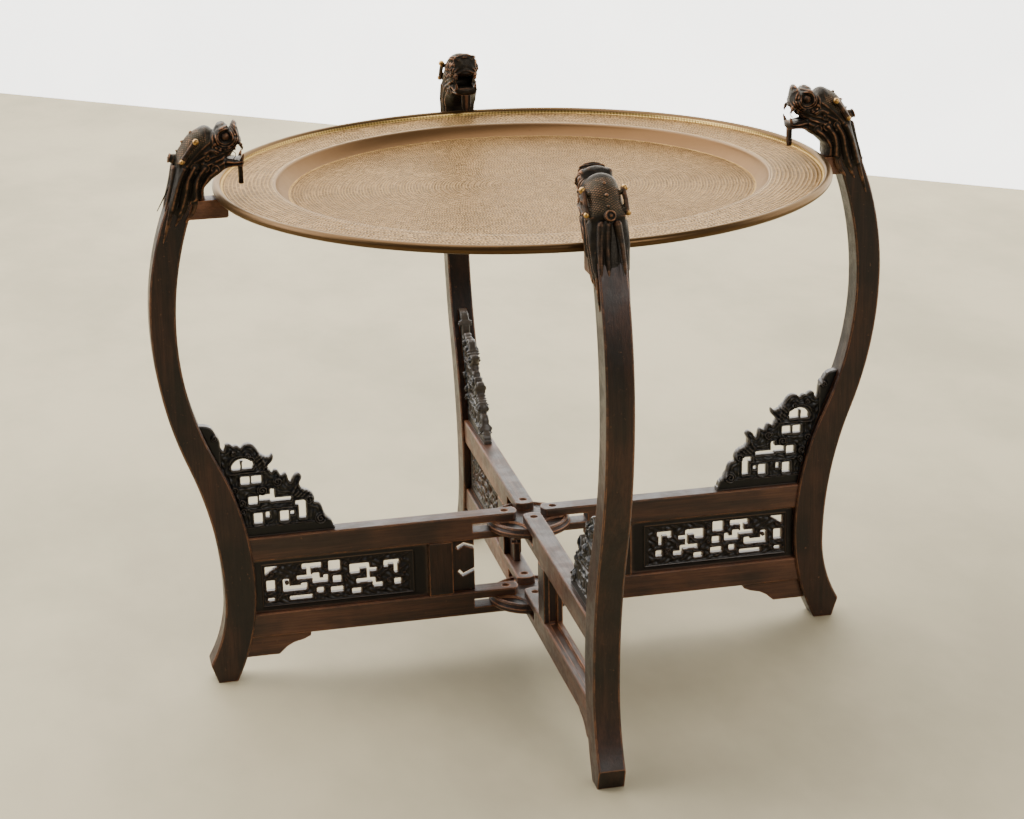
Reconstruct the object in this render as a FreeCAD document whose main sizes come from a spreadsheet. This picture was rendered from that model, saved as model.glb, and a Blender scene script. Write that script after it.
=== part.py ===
import FreeCAD, Part
import math
import os

import Sketcher
from FreeCAD import Placement, Rotation, Vector

# Folding tray table: four wooden wings hinged round two hub plates carry a loose brass tray.
#
# Frame: millimetres, +Z up, origin on the floor at the middle of the hub. Each wing is drawn
# along +X (r, the distance from the table's axis) with Y across its thickness, and is then
# turned about Z to its place: front is -Y, right +X, back +Y and left -X.

SIZES = {
    # the tray, a spun sheet with a rolled edge
    "tray_radius": 378.0,
    "tray_bead_radius": 5.2,
    "tray_sheet": 1.6,
    "tray_rim_drop": 1.2,             # top of the flat rim, below the bead's centre
    "tray_rim_inner": 302.0,
    "tray_well_radius": 286.0,
    "tray_well_depth": 14.8,
    "tray_wall_curve": 24.0,
    "tray_rest_gap": 0.3,             # the bead's underside over the support blocks
    # the hub
    "pin_offset": 32.0,
    "pin_diameter": 6.0,
    "pin_clearance": 0.1,             # radial, in the hub plates
    "pin_recess_diameter": 10.0,
    "pin_recess_depth": 3.0,
    "hub_radius": 54.0,
    "hub_thickness": 11.6,
    "hub_cove": 3.4,
    "hub_edge": 1.2,
    "pan_depth": 2.5,
    "pan_radius": 46.5,
    "pan_curve": 30.0,
    # the wing frames
    "rail_width": 24.0,
    "rail_height": 32.0,
    "rail_end_radius": 15.7,
    "rail_seat": 372.0,               # how far out the rails are let into the leg
    "rail_easing": 1.2,
    "upper_rail_bottom": 159.0,
    "lower_rail_bottom": 55.0,
    "slot_height": 12.0,
    "slot_end": 76.0,
    "stile_inner": 103.0,
    "stile_outer": 134.0,
    "groove_depth": 4.0,
    "panel_thickness": 10.0,
    "panel_seat": 368.0,
    "end_board_thickness": 8.0,
    "end_board_inner": 73.5,
    "end_board_outer": 106.5,
    # the leg
    "leg_width": 32.0,
    "leg_easing": 1.6,
    "sole_inner": 386.0,
    "sole_outer": 411.0,
    "toe_out": 419.5,
    "toe_up": 25.5,
    "waist_inner": 356.5,
    "waist_inner_up": 125.0,
    "waist_outer": 396.3,
    "waist_outer_up": 112.0,
    "belly_inner": 433.5,
    "belly_inner_up": 465.0,
    "belly_outer": 465.0,
    "belly_outer_up": 475.0,
    "leg_top_inner": 396.0,
    "leg_top_outer": 428.0,
    "leg_top_up": 640.0,
    # brackets, support block and dragon head
    "spandrel_thickness": 12.0,
    "apron_thickness": 16.0,
    "block_inner": 362.0,
    "block_seat": 419.0,
    "block_bottom": 605.0,
    "block_top": 627.5,
    "block_width": 26.0,
    "block_chamfer": 2.0,
    "head_width": 38.0,
    "muzzle_width": 27.0,
    "muzzle_back": 374.0,
    "antler_span": 53.0,
    "tongue_inner": 342.0,
    "tongue_thickness": 3.5,
    "tongue_width": 13.0,
    "tongue_tip_width": 7.0,
    "tongue_bottom": 643.0,
    "tongue_taper": 5.0,
    "jaw_bottom": 664.0,
}

# Openwork of the fret panel: windows as (from, to) along the panel from its leg end and
# (from, to) up from its lower edge.
PANEL_OPEN_INNER = 160.5
PANEL_OPEN_OUTER = 344.5
PANEL_OPEN_BOTTOM = 98.0
PANEL_WINDOWS = [
    (2, 17, 38, 49), (2, 13, 16, 29), (23, 53, 13, 19), (31, 60, 2, 7), (41, 62, 27, 33),
    (48, 73, 41, 48), (66, 80, 21, 34), (66, 76, 7, 14), (83, 97, 36, 49), (86, 98, 19, 28),
    (84, 100, 5, 13), (109, 131, 29, 42), (117, 147, 13, 20), (111, 123, 1, 8),
    (153, 173, 35, 43), (164, 175, 8, 17),
]

# Spandrel: stepped, leafy outline from the leg down to the hub end of its plinth, as (r, z),
# and its windows as (r from, r to, z from, z to).
SPANDREL_OUTLINE = [
    (367, 191), (389, 270), (418, 342), (404, 341), (395, 332), (389, 315), (385, 306),
    (375, 312), (356, 312), (343, 300), (325, 294), (331, 281), (324, 272), (309, 269),
    (306, 259), (292, 265), (292, 249), (276, 236), (265, 214), (255, 200), (255, 191),
]
SPANDREL_WINDOWS = [
    (352, 376, 283, 295), (347, 367, 262, 272), (348, 359, 231, 243), (326, 345, 237, 247),
    (303, 323, 231, 237), (342, 353, 208, 220), (309, 320, 208, 220), (286, 296, 207, 230),
]

# Apron bracket under the lower rail, with its ogee end towards the hub.
APRON_OUTLINE = [
    (371, 55), (380, 28), (331, 28), (321, 37), (312, 42), (299, 45), (290, 49), (289, 55),
]

# Side view of the dragon head, from the foot of its neck on the support block, round the
# lower jaw, the open mouth, the snout, brow and crown, and down the back to the collar.
HEAD_OUTLINE = [
    (388.5, 627.5), (388.5, 641), (384, 646.5), (377, 653), (369, 658), (361, 664),
    (340, 664), (339, 669.5), (340.5, 675), (348, 672.5), (358, 673.5), (362, 676.5),
    (356.5, 678), (350, 687.5), (341.5, 686), (341, 693), (343, 704), (348.5, 720),
    (354.5, 711), (363, 718.5), (374, 710), (383, 715.5), (393, 712), (403.5, 705),
    (412, 694), (418.5, 685), (427, 682), (427, 672), (422, 667), (427, 655.5),
    (431, 638), (437, 627), (442.5, 612), (409, 612), (403, 627.5),
]
ANTLER_OUTLINE = [(394, 700), (400, 704.5), (417, 682), (411, 677)]
SLITS = [
    [(97, 147), (94, 144.5), (87, 149.5), (72, 143.3), (72, 148), (87, 154), (96, 149.5)],
    [(96, 113.5), (89.5, 106.5), (72, 114), (72, 118.5), (88.5, 111.5), (93, 117)],
]

WINGS = {"front": -90.0, "right": 0.0, "back": 90.0, "left": 180.0}
EMPTY_WING = "front"                  # this wing has lost its fret panel and end board

document = FreeCAD.newDocument("folding_tray_table")
parts = []


class Size:
    """A number together with the spreadsheet expression that gives it."""

    def __init__(self, value, text=None):
        self.value = float(value)
        self.text = text or repr(float(value))

    def combine(self, other, sign, value):
        return Size(value, f"({self.text} {sign} {other.text})")

    def __add__(self, other):
        other = as_size(other)
        return self.combine(other, "+", self.value + other.value)

    def __sub__(self, other):
        other = as_size(other)
        return self.combine(other, "-", self.value - other.value)

    def __mul__(self, other):
        other = as_size(other)
        return self.combine(other, "*", self.value * other.value)

    def __truediv__(self, other):
        other = as_size(other)
        return self.combine(other, "/", self.value / other.value)

    def __neg__(self):
        return Size(-self.value, f"(0 - {self.text})")

    def root(self):
        return Size(math.sqrt(self.value), f"sqrt({self.text})")


def as_size(number):
    return number if isinstance(number, Size) else Size(number)


class Cells:
    """Gives each cell of the spreadsheet as a Size."""

    def __getattr__(self, name):
        return Size(SIZES[name], f"Sizes.{name}")


def fill_sheet():
    sheet = document.addObject("Spreadsheet::Sheet", "Sizes")
    for row, (name, value) in enumerate(SIZES.items(), start=1):
        sheet.set(f"A{row}", name)
        sheet.set(f"B{row}", str(value))
        sheet.setAlias(f"B{row}", name)
    document.recompute()


cell = Cells()


def new_body(label, turn=0.0):
    body = document.addObject("PartDesign::Body", label)
    body.Label = label
    body.Placement = Placement(Vector(), Rotation(Vector(0, 0, 1), turn))
    return body


def new_sketch(body, plane, offset=None):
    """A sketch on one of the body's own origin planes, moved up its normal by offset."""
    sketch = body.newObject("Sketcher::SketchObject", body.Label + "_sketch")
    support = [f for f in body.Origin.OriginFeatures if f.Role == plane][0]
    sketch.AttachmentSupport = [(support, "")]
    sketch.MapMode = "FlatFace"
    if offset is not None:
        sketch.setExpression("AttachmentOffset.Base.z", offset.text)
    return sketch


def bind(sketch, kind, where, size):
    index = sketch.addConstraint(Sketcher.Constraint(kind, *where, size.value))
    sketch.setExpression(f"Constraints[{index}]", size.text)


def bind_point(sketch, geometry, end, point):
    for kind, axis, size in (("DistanceX", -2, point[0]), ("DistanceY", -1, point[1])):
        if size.value == 0:
            sketch.addConstraint(Sketcher.Constraint("PointOnObject", geometry, end, axis))
        else:
            bind(sketch, kind, (-1, 1, geometry, end), size)


def arc_between(start, finish, radius, side):
    """The short arc from start to finish that turns left (side 1) or right (side -1)."""
    chord = finish - start
    middle = (start + finish) * 0.5
    left = Vector(-chord.y, chord.x, 0).normalize()
    reach = math.sqrt(max(radius**2 - (chord.Length / 2)**2, 0.0))
    centre = middle + left * (side * reach)
    first, last = (start, finish) if side > 0 else (finish, start)
    angles = [math.atan2(p.y - centre.y, p.x - centre.x) for p in (first, last)]
    return Part.ArcOfCircle(Part.Circle(centre, Vector(0, 0, 1), radius), *angles)


def draw_outline(sketch, corners, arcs=None):
    """Closes a profile through the corners; arcs gives (radius, side) for curved edges."""
    arcs = arcs or {}
    corners = [(as_size(x), as_size(y)) for x, y in corners]
    points = [Vector(x.value, y.value, 0) for x, y in corners]
    ends = []
    for number, start in enumerate(points):
        finish = points[(number + 1) % len(points)]
        if number in arcs:
            radius, side = arcs[number]
            index = sketch.addGeometry(arc_between(start, finish, radius.value, side))
            ends.append((index, (1, 2) if side > 0 else (2, 1)))
        else:
            index = sketch.addGeometry(Part.LineSegment(start, finish))
            ends.append((index, (1, 2)))
    for number, (index, (_, finish)) in enumerate(ends):
        following, (start, _) = ends[(number + 1) % len(ends)]
        sketch.addConstraint(Sketcher.Constraint("Coincident", index, finish, following, start))
    for number, (index, (start, _)) in enumerate(ends):
        bind_point(sketch, index, start, corners[number])
        if number in arcs:
            bind(sketch, "Radius", (index,), arcs[number][0])


def draw_box(sketch, x0, x1, y0, y1):
    draw_outline(sketch, [(x0, y0), (x1, y0), (x1, y1), (x0, y1)])


def draw_circle(sketch, x, y, diameter):
    x, y = as_size(x), as_size(y)
    circle = Part.Circle(Vector(x.value, y.value, 0), Vector(0, 0, 1), diameter.value / 2)
    index = sketch.addGeometry(circle)
    bind_point(sketch, index, 3, (x, y))
    bind(sketch, "Diameter", (index,), diameter)


def extrude(body, kind, sketch, length, symmetric=True):
    """A Pad or Pocket of the sketch, centred on its plane unless told otherwise."""
    before = body.Shape.Volume if body.Tip else 0.0
    feature = body.newObject("PartDesign::" + kind, body.Label + "_" + kind.lower())
    feature.Profile = sketch
    feature.setExpression("Length", as_size(length).text)
    if symmetric:
        feature.SideType = "Symmetric"
    document.recompute()
    if kind == "Pocket" and body.Shape.Volume >= before - 0.01:
        raise ValueError(f"{feature.Label} cuts nothing")
    return feature


def slab(body, x0, x1, z0, z1, width):
    """A rectangular bar seen from the side."""
    sketch = new_sketch(body, "XZ_Plane")
    draw_box(sketch, x0, x1, z0, z1)
    return extrude(body, "Pad", sketch, width)


def cut_slab(body, x0, x1, z0, z1, width):
    sketch = new_sketch(body, "XZ_Plane")
    draw_box(sketch, x0, x1, z0, z1)
    extrude(body, "Pocket", sketch, width)


def cut_windows(body, windows, width):
    """Several rectangular openings, cut straight through with one pocket."""
    sketch = new_sketch(body, "XZ_Plane")
    for window in windows:
        draw_box(sketch, *window)
    extrude(body, "Pocket", sketch, width)


def cut_hole(body, x, y, diameter, middle, length):
    """A round hole along Z, centred on the height called middle."""
    sketch = new_sketch(body, "XY_Plane", middle)
    draw_circle(sketch, x, y, diameter)
    extrude(body, "Pocket", sketch, length)


def ease_edges(body, feature, size, wanted):
    """Bevels the edges of a feature for which wanted(edge) is true."""
    names = [f"Edge{i}" for i, edge in enumerate(feature.Shape.Edges, start=1) if wanted(edge)]
    bevel = body.newObject("PartDesign::Chamfer", body.Label + "_easing")
    bevel.Base = (feature, names)
    bevel.setExpression("Size", size.text)
    document.recompute()


def long_side_edge(edge, half_width, shortest):
    """True for an edge in one of the two side faces that is longer than shortest."""
    box = edge.BoundBox
    flat = abs(abs(box.YMin) - half_width) < 1e-4 and abs(box.YMax - box.YMin) < 1e-4
    return flat and edge.Length > shortest


def tangent_radius(across, along):
    """Radius of an arc that leaves its axis tangentially and moves across over along."""
    return (across * across + along * along) / (across * 2)


def halfway(a, b):
    return (a + b) / 2


def leg_outline(sketch):
    """Side view of the leg: sole, chamfered toe, waist, belly and top, joined by arcs."""
    corners = [
        (cell.sole_inner, Size(0)), (cell.sole_outer, Size(0)), (cell.toe_out, cell.toe_up),
        (cell.waist_outer, cell.waist_outer_up),
        (halfway(cell.waist_outer, cell.belly_outer),
         halfway(cell.waist_outer_up, cell.belly_outer_up)),
        (cell.belly_outer, cell.belly_outer_up), (cell.leg_top_outer, cell.leg_top_up),
        (cell.leg_top_inner, cell.leg_top_up), (cell.belly_inner, cell.belly_inner_up),
        (halfway(cell.waist_inner, cell.belly_inner),
         halfway(cell.waist_inner_up, cell.belly_inner_up)),
        (cell.waist_inner, cell.waist_inner_up),
    ]
    outer_s = tangent_radius((cell.belly_outer - cell.waist_outer) / 2,
                             (cell.belly_outer_up - cell.waist_outer_up) / 2)
    inner_s = tangent_radius((cell.belly_inner - cell.waist_inner) / 2,
                             (cell.belly_inner_up - cell.waist_inner_up) / 2)
    arcs = {
        2: (tangent_radius(cell.toe_out - cell.waist_outer, cell.waist_outer_up - cell.toe_up), -1),
        3: (outer_s, -1),
        4: (outer_s, 1),
        5: (tangent_radius(cell.belly_outer - cell.leg_top_outer,
                           cell.leg_top_up - cell.belly_outer_up), 1),
        7: (tangent_radius(cell.belly_inner - cell.leg_top_inner,
                           cell.leg_top_up - cell.belly_inner_up), -1),
        8: (inner_s, -1),
        9: (inner_s, 1),
        10: (tangent_radius(cell.sole_inner - cell.waist_inner, cell.waist_inner_up), 1),
    }
    draw_outline(sketch, corners, arcs)


def rail_heights(name):
    bottom = cell.upper_rail_bottom if name == "upper" else cell.lower_rail_bottom
    return bottom, bottom + cell.rail_height


def groove_heights():
    """Bottom and top of the fret panel and end board, in the grooves of both rails."""
    return (cell.lower_rail_bottom + cell.rail_height - cell.groove_depth,
            cell.upper_rail_bottom + cell.groove_depth)


def make_leg(wing, turn):
    leg = new_body("leg_" + wing, turn)
    sketch = new_sketch(leg, "XZ_Plane")
    leg_outline(sketch)
    pad = extrude(leg, "Pad", sketch, cell.leg_width)
    half = cell.leg_width.value / 2
    ease_edges(leg, pad, cell.leg_easing, lambda edge: long_side_edge(edge, half, 60))
    low, high = groove_heights()
    for name in ("upper", "lower"):
        bottom, top = rail_heights(name)
        cut_slab(leg, cell.waist_inner - 5, cell.rail_seat, bottom, top, cell.rail_width)
    cut_slab(leg, cell.waist_inner - 5, cell.panel_seat, low, high, cell.panel_thickness)
    cut_slab(leg, cell.leg_top_inner, cell.block_seat, cell.block_bottom, cell.block_top,
             cell.block_width)
    for outline, thickness in ((SPANDREL_OUTLINE, cell.spandrel_thickness),
                               (APRON_OUTLINE, cell.apron_thickness)):
        seat = new_sketch(leg, "XZ_Plane")
        draw_outline(seat, outline)
        extrude(leg, "Pocket", seat, thickness)
    return leg


def make_rail(name, wing, turn):
    """A rail with a rounded, slotted hub end, pin hole, pin recesses and panel grooves."""
    rail = new_body(f"{name}_rail_{wing}", turn)
    bottom, top = rail_heights(name)
    half = cell.rail_width / 2
    end = cell.pin_offset - (cell.rail_end_radius * cell.rail_end_radius - half * half).root()
    sketch = new_sketch(rail, "XY_Plane", bottom)
    draw_outline(sketch, [(end, -half), (cell.rail_seat, -half), (cell.rail_seat, half),
                          (end, half)], {3: (cell.rail_end_radius, 1)})
    pad = extrude(rail, "Pad", sketch, cell.rail_height, symmetric=False)
    half_width = half.value
    ease_edges(rail, pad, cell.rail_easing, lambda edge: long_side_edge(edge, half_width, 100))
    middle = halfway(bottom, top)
    slot = cell.slot_height / 2
    cut_slab(rail, Size(1), cell.slot_end, middle - slot, middle + slot, cell.rail_width * 2)
    cut_hole(rail, cell.pin_offset, Size(0), cell.pin_diameter, middle, cell.rail_height * 2)
    for face in (bottom, top):
        cut_hole(rail, cell.pin_offset, Size(0), cell.pin_recess_diameter, face,
                 cell.pin_recess_depth * 2)
    low, high = groove_heights()
    if name == "upper":
        low = bottom - 1
    else:
        high = top + 1
    cut_slab(rail, cell.stile_outer - 5, cell.rail_seat + 1, low, high, cell.panel_thickness)
    cut_slab(rail, cell.end_board_inner, cell.stile_inner + 5, low, high,
             cell.end_board_thickness)
    return rail


def make_stile(wing, turn):
    stile = new_body("stile_" + wing, turn)
    low = cell.lower_rail_bottom + cell.rail_height
    high = cell.upper_rail_bottom
    slab(stile, cell.stile_inner, cell.stile_outer, low, high, cell.rail_width)
    cut_slab(stile, cell.stile_outer - cell.groove_depth, cell.stile_outer + 1, low, high,
             cell.panel_thickness)
    cut_slab(stile, cell.stile_inner - 1, cell.stile_inner + cell.groove_depth, low, high,
             cell.end_board_thickness)
    return stile


def make_fret_panel(wing, turn):
    """A board in the grooves of rails, stile and leg, pierced with rectangular fretwork."""
    panel = new_body("fret_panel_" + wing, turn)
    low, high = groove_heights()
    slab(panel, cell.stile_outer - cell.groove_depth, cell.panel_seat, low, high,
         cell.panel_thickness)
    cut_windows(panel, [(PANEL_OPEN_OUTER - far, PANEL_OPEN_OUTER - near,
                         PANEL_OPEN_BOTTOM + down, PANEL_OPEN_BOTTOM + up)
                        for near, far, down, up in PANEL_WINDOWS], cell.rail_width)
    return panel


def make_end_board(wing, turn):
    """The short board on the hub side of the stile, with two slits open at its edge."""
    board = new_body("end_board_" + wing, turn)
    low, high = groove_heights()
    slab(board, cell.end_board_inner, cell.end_board_outer, low, high, cell.end_board_thickness)
    sketch = new_sketch(board, "XZ_Plane")
    for slit in SLITS:
        draw_outline(sketch, slit)
    extrude(board, "Pocket", sketch, cell.rail_width)
    return board


def make_bracket(label, outline, thickness, windows, turn):
    """A flat bracket cut from a board, seen from the side."""
    bracket = new_body(label, turn)
    sketch = new_sketch(bracket, "XZ_Plane")
    draw_outline(sketch, outline)
    extrude(bracket, "Pad", sketch, thickness)
    if windows:
        cut_windows(bracket, windows, cell.leg_width)
    return bracket


def make_tray_block(wing, turn):
    block = new_body("tray_block_" + wing, turn)
    sketch = new_sketch(block, "XZ_Plane")
    draw_outline(sketch, [
        (cell.block_inner + cell.block_chamfer, cell.block_bottom),
        (cell.block_seat, cell.block_bottom), (cell.block_seat, cell.block_top),
        (cell.block_inner, cell.block_top),
        (cell.block_inner, cell.block_bottom + cell.block_chamfer),
    ])
    extrude(block, "Pad", sketch, cell.block_width)
    return block


def make_head(wing, turn, leg, block):
    """The cast cap over the leg's top: a dragon's head on a collar that hugs the leg."""
    blank = new_body(f"dragon_head_{wing}_blank", turn)
    sketch = new_sketch(blank, "XZ_Plane")
    draw_outline(sketch, HEAD_OUTLINE)
    extrude(blank, "Pad", sketch, cell.head_width)
    muzzle = new_sketch(blank, "XY_Plane", cell.jaw_bottom)
    tip = cell.tongue_inner - 10
    for side in (1, -1):
        draw_outline(muzzle, [(tip, cell.muzzle_width / 2 * side),
                              (cell.muzzle_back, cell.head_width / 2 * side + side),
                              (tip, cell.head_width / 2 * side + side)])
    extrude(blank, "Pocket", muzzle, cell.leg_top_up)
    antlers = new_sketch(blank, "XZ_Plane")
    draw_outline(antlers, ANTLER_OUTLINE)
    extrude(blank, "Pad", antlers, cell.antler_span)
    off_leg = document.addObject("Part::Cut", f"dragon_head_{wing}_off_leg")
    off_leg.Base = blank
    off_leg.Tool = leg
    head = document.addObject("Part::Cut", "dragon_head_" + wing)
    head.Label = "dragon_head_" + wing
    head.Base = off_leg
    head.Tool = block
    document.recompute()
    return head


def make_tongue(wing, turn):
    tongue = new_body("dragon_tongue_" + wing, turn)
    sketch = new_sketch(tongue, "YZ_Plane", cell.tongue_inner)
    half = cell.tongue_width / 2
    tip = cell.tongue_tip_width / 2
    shoulder = cell.tongue_bottom + cell.tongue_taper
    draw_outline(sketch, [(-tip, cell.tongue_bottom), (tip, cell.tongue_bottom),
                          (half, shoulder), (half, cell.jaw_bottom), (-half, cell.jaw_bottom),
                          (-half, shoulder)])
    extrude(tongue, "Pad", sketch, cell.tongue_thickness, symmetric=False)
    return tongue


def make_pin(name, wing, turn):
    """A hinge pin, its ends sunk below the rail's faces."""
    pin = new_body(f"{name}_pin_{wing}", turn)
    bottom, top = rail_heights(name)
    sketch = new_sketch(pin, "XY_Plane", bottom + cell.pin_recess_depth)
    draw_circle(sketch, cell.pin_offset, Size(0), cell.pin_diameter)
    extrude(pin, "Pad", sketch, cell.rail_height - cell.pin_recess_depth * 2, symmetric=False)
    return pin


def make_wing(wing, turn):
    leg = make_leg(wing, turn)
    block = make_tray_block(wing, turn)
    parts.extend([leg, block, make_stile(wing, turn)])
    for name in ("upper", "lower"):
        parts.append(make_rail(name, wing, turn))
        parts.append(make_pin(name, wing, turn))
    if wing != EMPTY_WING:
        parts.append(make_fret_panel(wing, turn))
        parts.append(make_end_board(wing, turn))
    parts.append(make_bracket("spandrel_" + wing, SPANDREL_OUTLINE, cell.spandrel_thickness,
                              SPANDREL_WINDOWS, turn))
    parts.append(make_bracket("apron_" + wing, APRON_OUTLINE, cell.apron_thickness, [], turn))
    parts.append(make_head(wing, turn, leg, block))
    parts.append(make_tongue(wing, turn))


def revolve(body, sketch):
    feature = body.newObject("PartDesign::Revolution", body.Label + "_revolution")
    feature.Profile = sketch
    feature.ReferenceAxis = (sketch, ["V_Axis"])
    feature.Angle = 360
    document.recompute()


def make_hub_plate(name):
    """A moulded disc held in the rails' slots, with four pin holes and four sunk pans."""
    plate = new_body(name + "_hub_plate")
    bottom, top = rail_heights(name)
    plate.setExpression("Placement.Base.z", halfway(bottom, top).text)
    half = cell.hub_thickness / 2
    inside = cell.hub_radius - cell.hub_cove
    profile = new_sketch(plate, "XZ_Plane")
    draw_outline(profile, [
        (Size(0), -half), (cell.hub_radius - cell.hub_edge, -half),
        (cell.hub_radius, cell.hub_edge - half), (cell.hub_radius, Size(0)),
        (inside, cell.hub_cove), (inside, half - cell.hub_edge),
        (inside - cell.hub_edge, half), (Size(0), half),
    ], {3: (cell.hub_cove, -1)})
    revolve(plate, profile)
    pans = new_sketch(plate, "XY_Plane", half)
    for quarter in range(4):
        first, last = (math.radians(45 + 90 * quarter + swing) for swing in (-31, 31))
        corners = [(cell.pan_radius * math.cos(a), cell.pan_radius * math.sin(a))
                   for a in (first, last)]
        draw_outline(pans, corners, {0: (cell.pan_radius, 1), 1: (cell.pan_curve, 1)})
    extrude(plate, "Pocket", pans, cell.pan_depth * 2)
    hole = cell.pin_diameter + cell.pin_clearance * 2
    for x, y in ((1, 0), (0, 1), (-1, 0), (0, -1)):
        cut_hole(plate, cell.pin_offset * x, cell.pin_offset * y, hole, Size(0),
                 cell.rail_height)
    return plate


def make_tray():
    """The tray: flat well, curved wall, flat rim and rolled edge, spun from one sheet."""
    tray = new_body("tray")
    bead = cell.tray_bead_radius
    centre = cell.tray_radius - bead
    middle = cell.block_top + cell.tray_rest_gap + bead
    rim_top = middle - cell.tray_rim_drop
    rim_bottom = rim_top - cell.tray_sheet
    well_top = rim_top - cell.tray_well_depth
    well_bottom = well_top - cell.tray_sheet
    under = cell.tray_sheet + cell.tray_rim_drop
    shift = cell.tray_sheet * 0.7
    profile = new_sketch(tray, "XZ_Plane")
    draw_outline(profile, [
        (Size(0), well_bottom), (cell.tray_well_radius + shift, well_bottom),
        (cell.tray_rim_inner + shift, rim_bottom),
        (centre - (bead * bead - under * under).root(), rim_bottom),
        (cell.tray_radius, middle), (centre, middle + bead),
        (centre - (bead * bead - cell.tray_rim_drop * cell.tray_rim_drop).root(), rim_top),
        (cell.tray_rim_inner, rim_top), (cell.tray_well_radius, well_top), (Size(0), well_top),
    ], {
        1: (cell.tray_wall_curve + cell.tray_sheet, 1), 3: (bead, 1), 4: (bead, 1),
        5: (bead, 1), 7: (cell.tray_wall_curve, -1),
    })
    revolve(tray, profile)
    return tray


def save(part):
    if part.Shape.isNull() or not part.Shape.isValid() or not part.Shape.Solids:
        raise ValueError(part.Label + " has no sound solid")
    part.Shape.exportStep(f"parts/{part.Label}.step")


fill_sheet()
for wing_name, wing_turn in WINGS.items():
    make_wing(wing_name, wing_turn)
parts.extend([make_hub_plate("upper"), make_hub_plate("lower"), make_tray()])
document.recompute()
faults = [obj.Label for obj in document.Objects if {"Invalid", "Error"} & set(obj.State)]
if faults:
    raise ValueError("features that failed: " + ", ".join(faults))
os.makedirs("parts", exist_ok=True)
for sub_part in parts:
    save(sub_part)
print(len(parts), "parts saved")
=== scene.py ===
import math

import bmesh
import bpy
import numpy as np
from mathutils import Matrix, Vector


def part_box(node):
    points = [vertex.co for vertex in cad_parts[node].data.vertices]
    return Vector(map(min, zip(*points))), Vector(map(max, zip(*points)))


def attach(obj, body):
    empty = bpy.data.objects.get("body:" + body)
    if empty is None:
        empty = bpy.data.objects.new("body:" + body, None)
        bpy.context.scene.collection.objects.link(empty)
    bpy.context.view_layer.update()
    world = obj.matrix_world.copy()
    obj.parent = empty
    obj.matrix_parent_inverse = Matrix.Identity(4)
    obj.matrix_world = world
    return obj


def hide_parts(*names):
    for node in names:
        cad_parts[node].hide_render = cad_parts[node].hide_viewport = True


bl_info = {
    "name": "Folding Tray Table",
    "version": (1, 0, 0),
    "blender": (4, 5, 0),
    "location": "View3D > Sidebar > Tray Table",
    "description": "Finishes a folding tray table: hammered tray, cast dragon heads, carved wood",
    "category": "Object",
}

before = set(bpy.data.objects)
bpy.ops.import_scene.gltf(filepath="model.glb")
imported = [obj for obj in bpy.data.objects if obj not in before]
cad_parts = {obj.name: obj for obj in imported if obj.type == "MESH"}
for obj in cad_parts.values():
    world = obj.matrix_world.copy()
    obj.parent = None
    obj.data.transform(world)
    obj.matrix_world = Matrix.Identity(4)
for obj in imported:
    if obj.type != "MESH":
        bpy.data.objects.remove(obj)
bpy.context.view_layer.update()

MM = 0.001
WINGS = {"front": -90.0, "right": 0.0, "back": 90.0, "left": 180.0}
PANELLED = ("right", "back", "left")


def node_mm(node):
    """Lowest and highest corner of a CAD node, in millimetres."""
    low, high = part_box(node)
    return np.array(low) / MM, np.array(high) / MM


TRAY_LOW, TRAY_HIGH = node_mm("tray")
LEG_HALF = node_mm("leg_right")[1][1]
PANEL_LOW, PANEL_HIGH = node_mm("fret_panel_right")
SPANDREL_LOW, SPANDREL_HIGH = node_mm("spandrel_right")
TONGUE_LOW, TONGUE_HIGH = node_mm("dragon_tongue_right")


# ---------------------------------------------------------------- materials

class Link:
    """A shader socket that takes part in Python arithmetic; each sign adds a Math node."""

    def __init__(self, paint, socket):
        self.paint = paint
        self.socket = socket

    def math(self, operation, *others):
        values = dict(enumerate((self,) + others))
        return self.paint.node("ShaderNodeMath", {"operation": operation}, values)

    def __add__(self, other):
        return self.math("ADD", other)

    def __sub__(self, other):
        return self.math("SUBTRACT", other)

    def __mul__(self, other):
        return self.math("MULTIPLY", other)

    def __truediv__(self, other):
        return self.math("DIVIDE", other)

    def __pow__(self, other):
        return self.math("POWER", other)

    def __rsub__(self, other):
        return (self * -1.0) + other

    __radd__ = __add__
    __rmul__ = __mul__

    def smooth(self, low, high):
        """0 below low and 1 above high, with a smooth step between (low may be above high)."""
        return self.paint.node("ShaderNodeMapRange", {"interpolation_type": "SMOOTHSTEP"},
                               {"Value": self, "From Min": low, "From Max": high})


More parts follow.
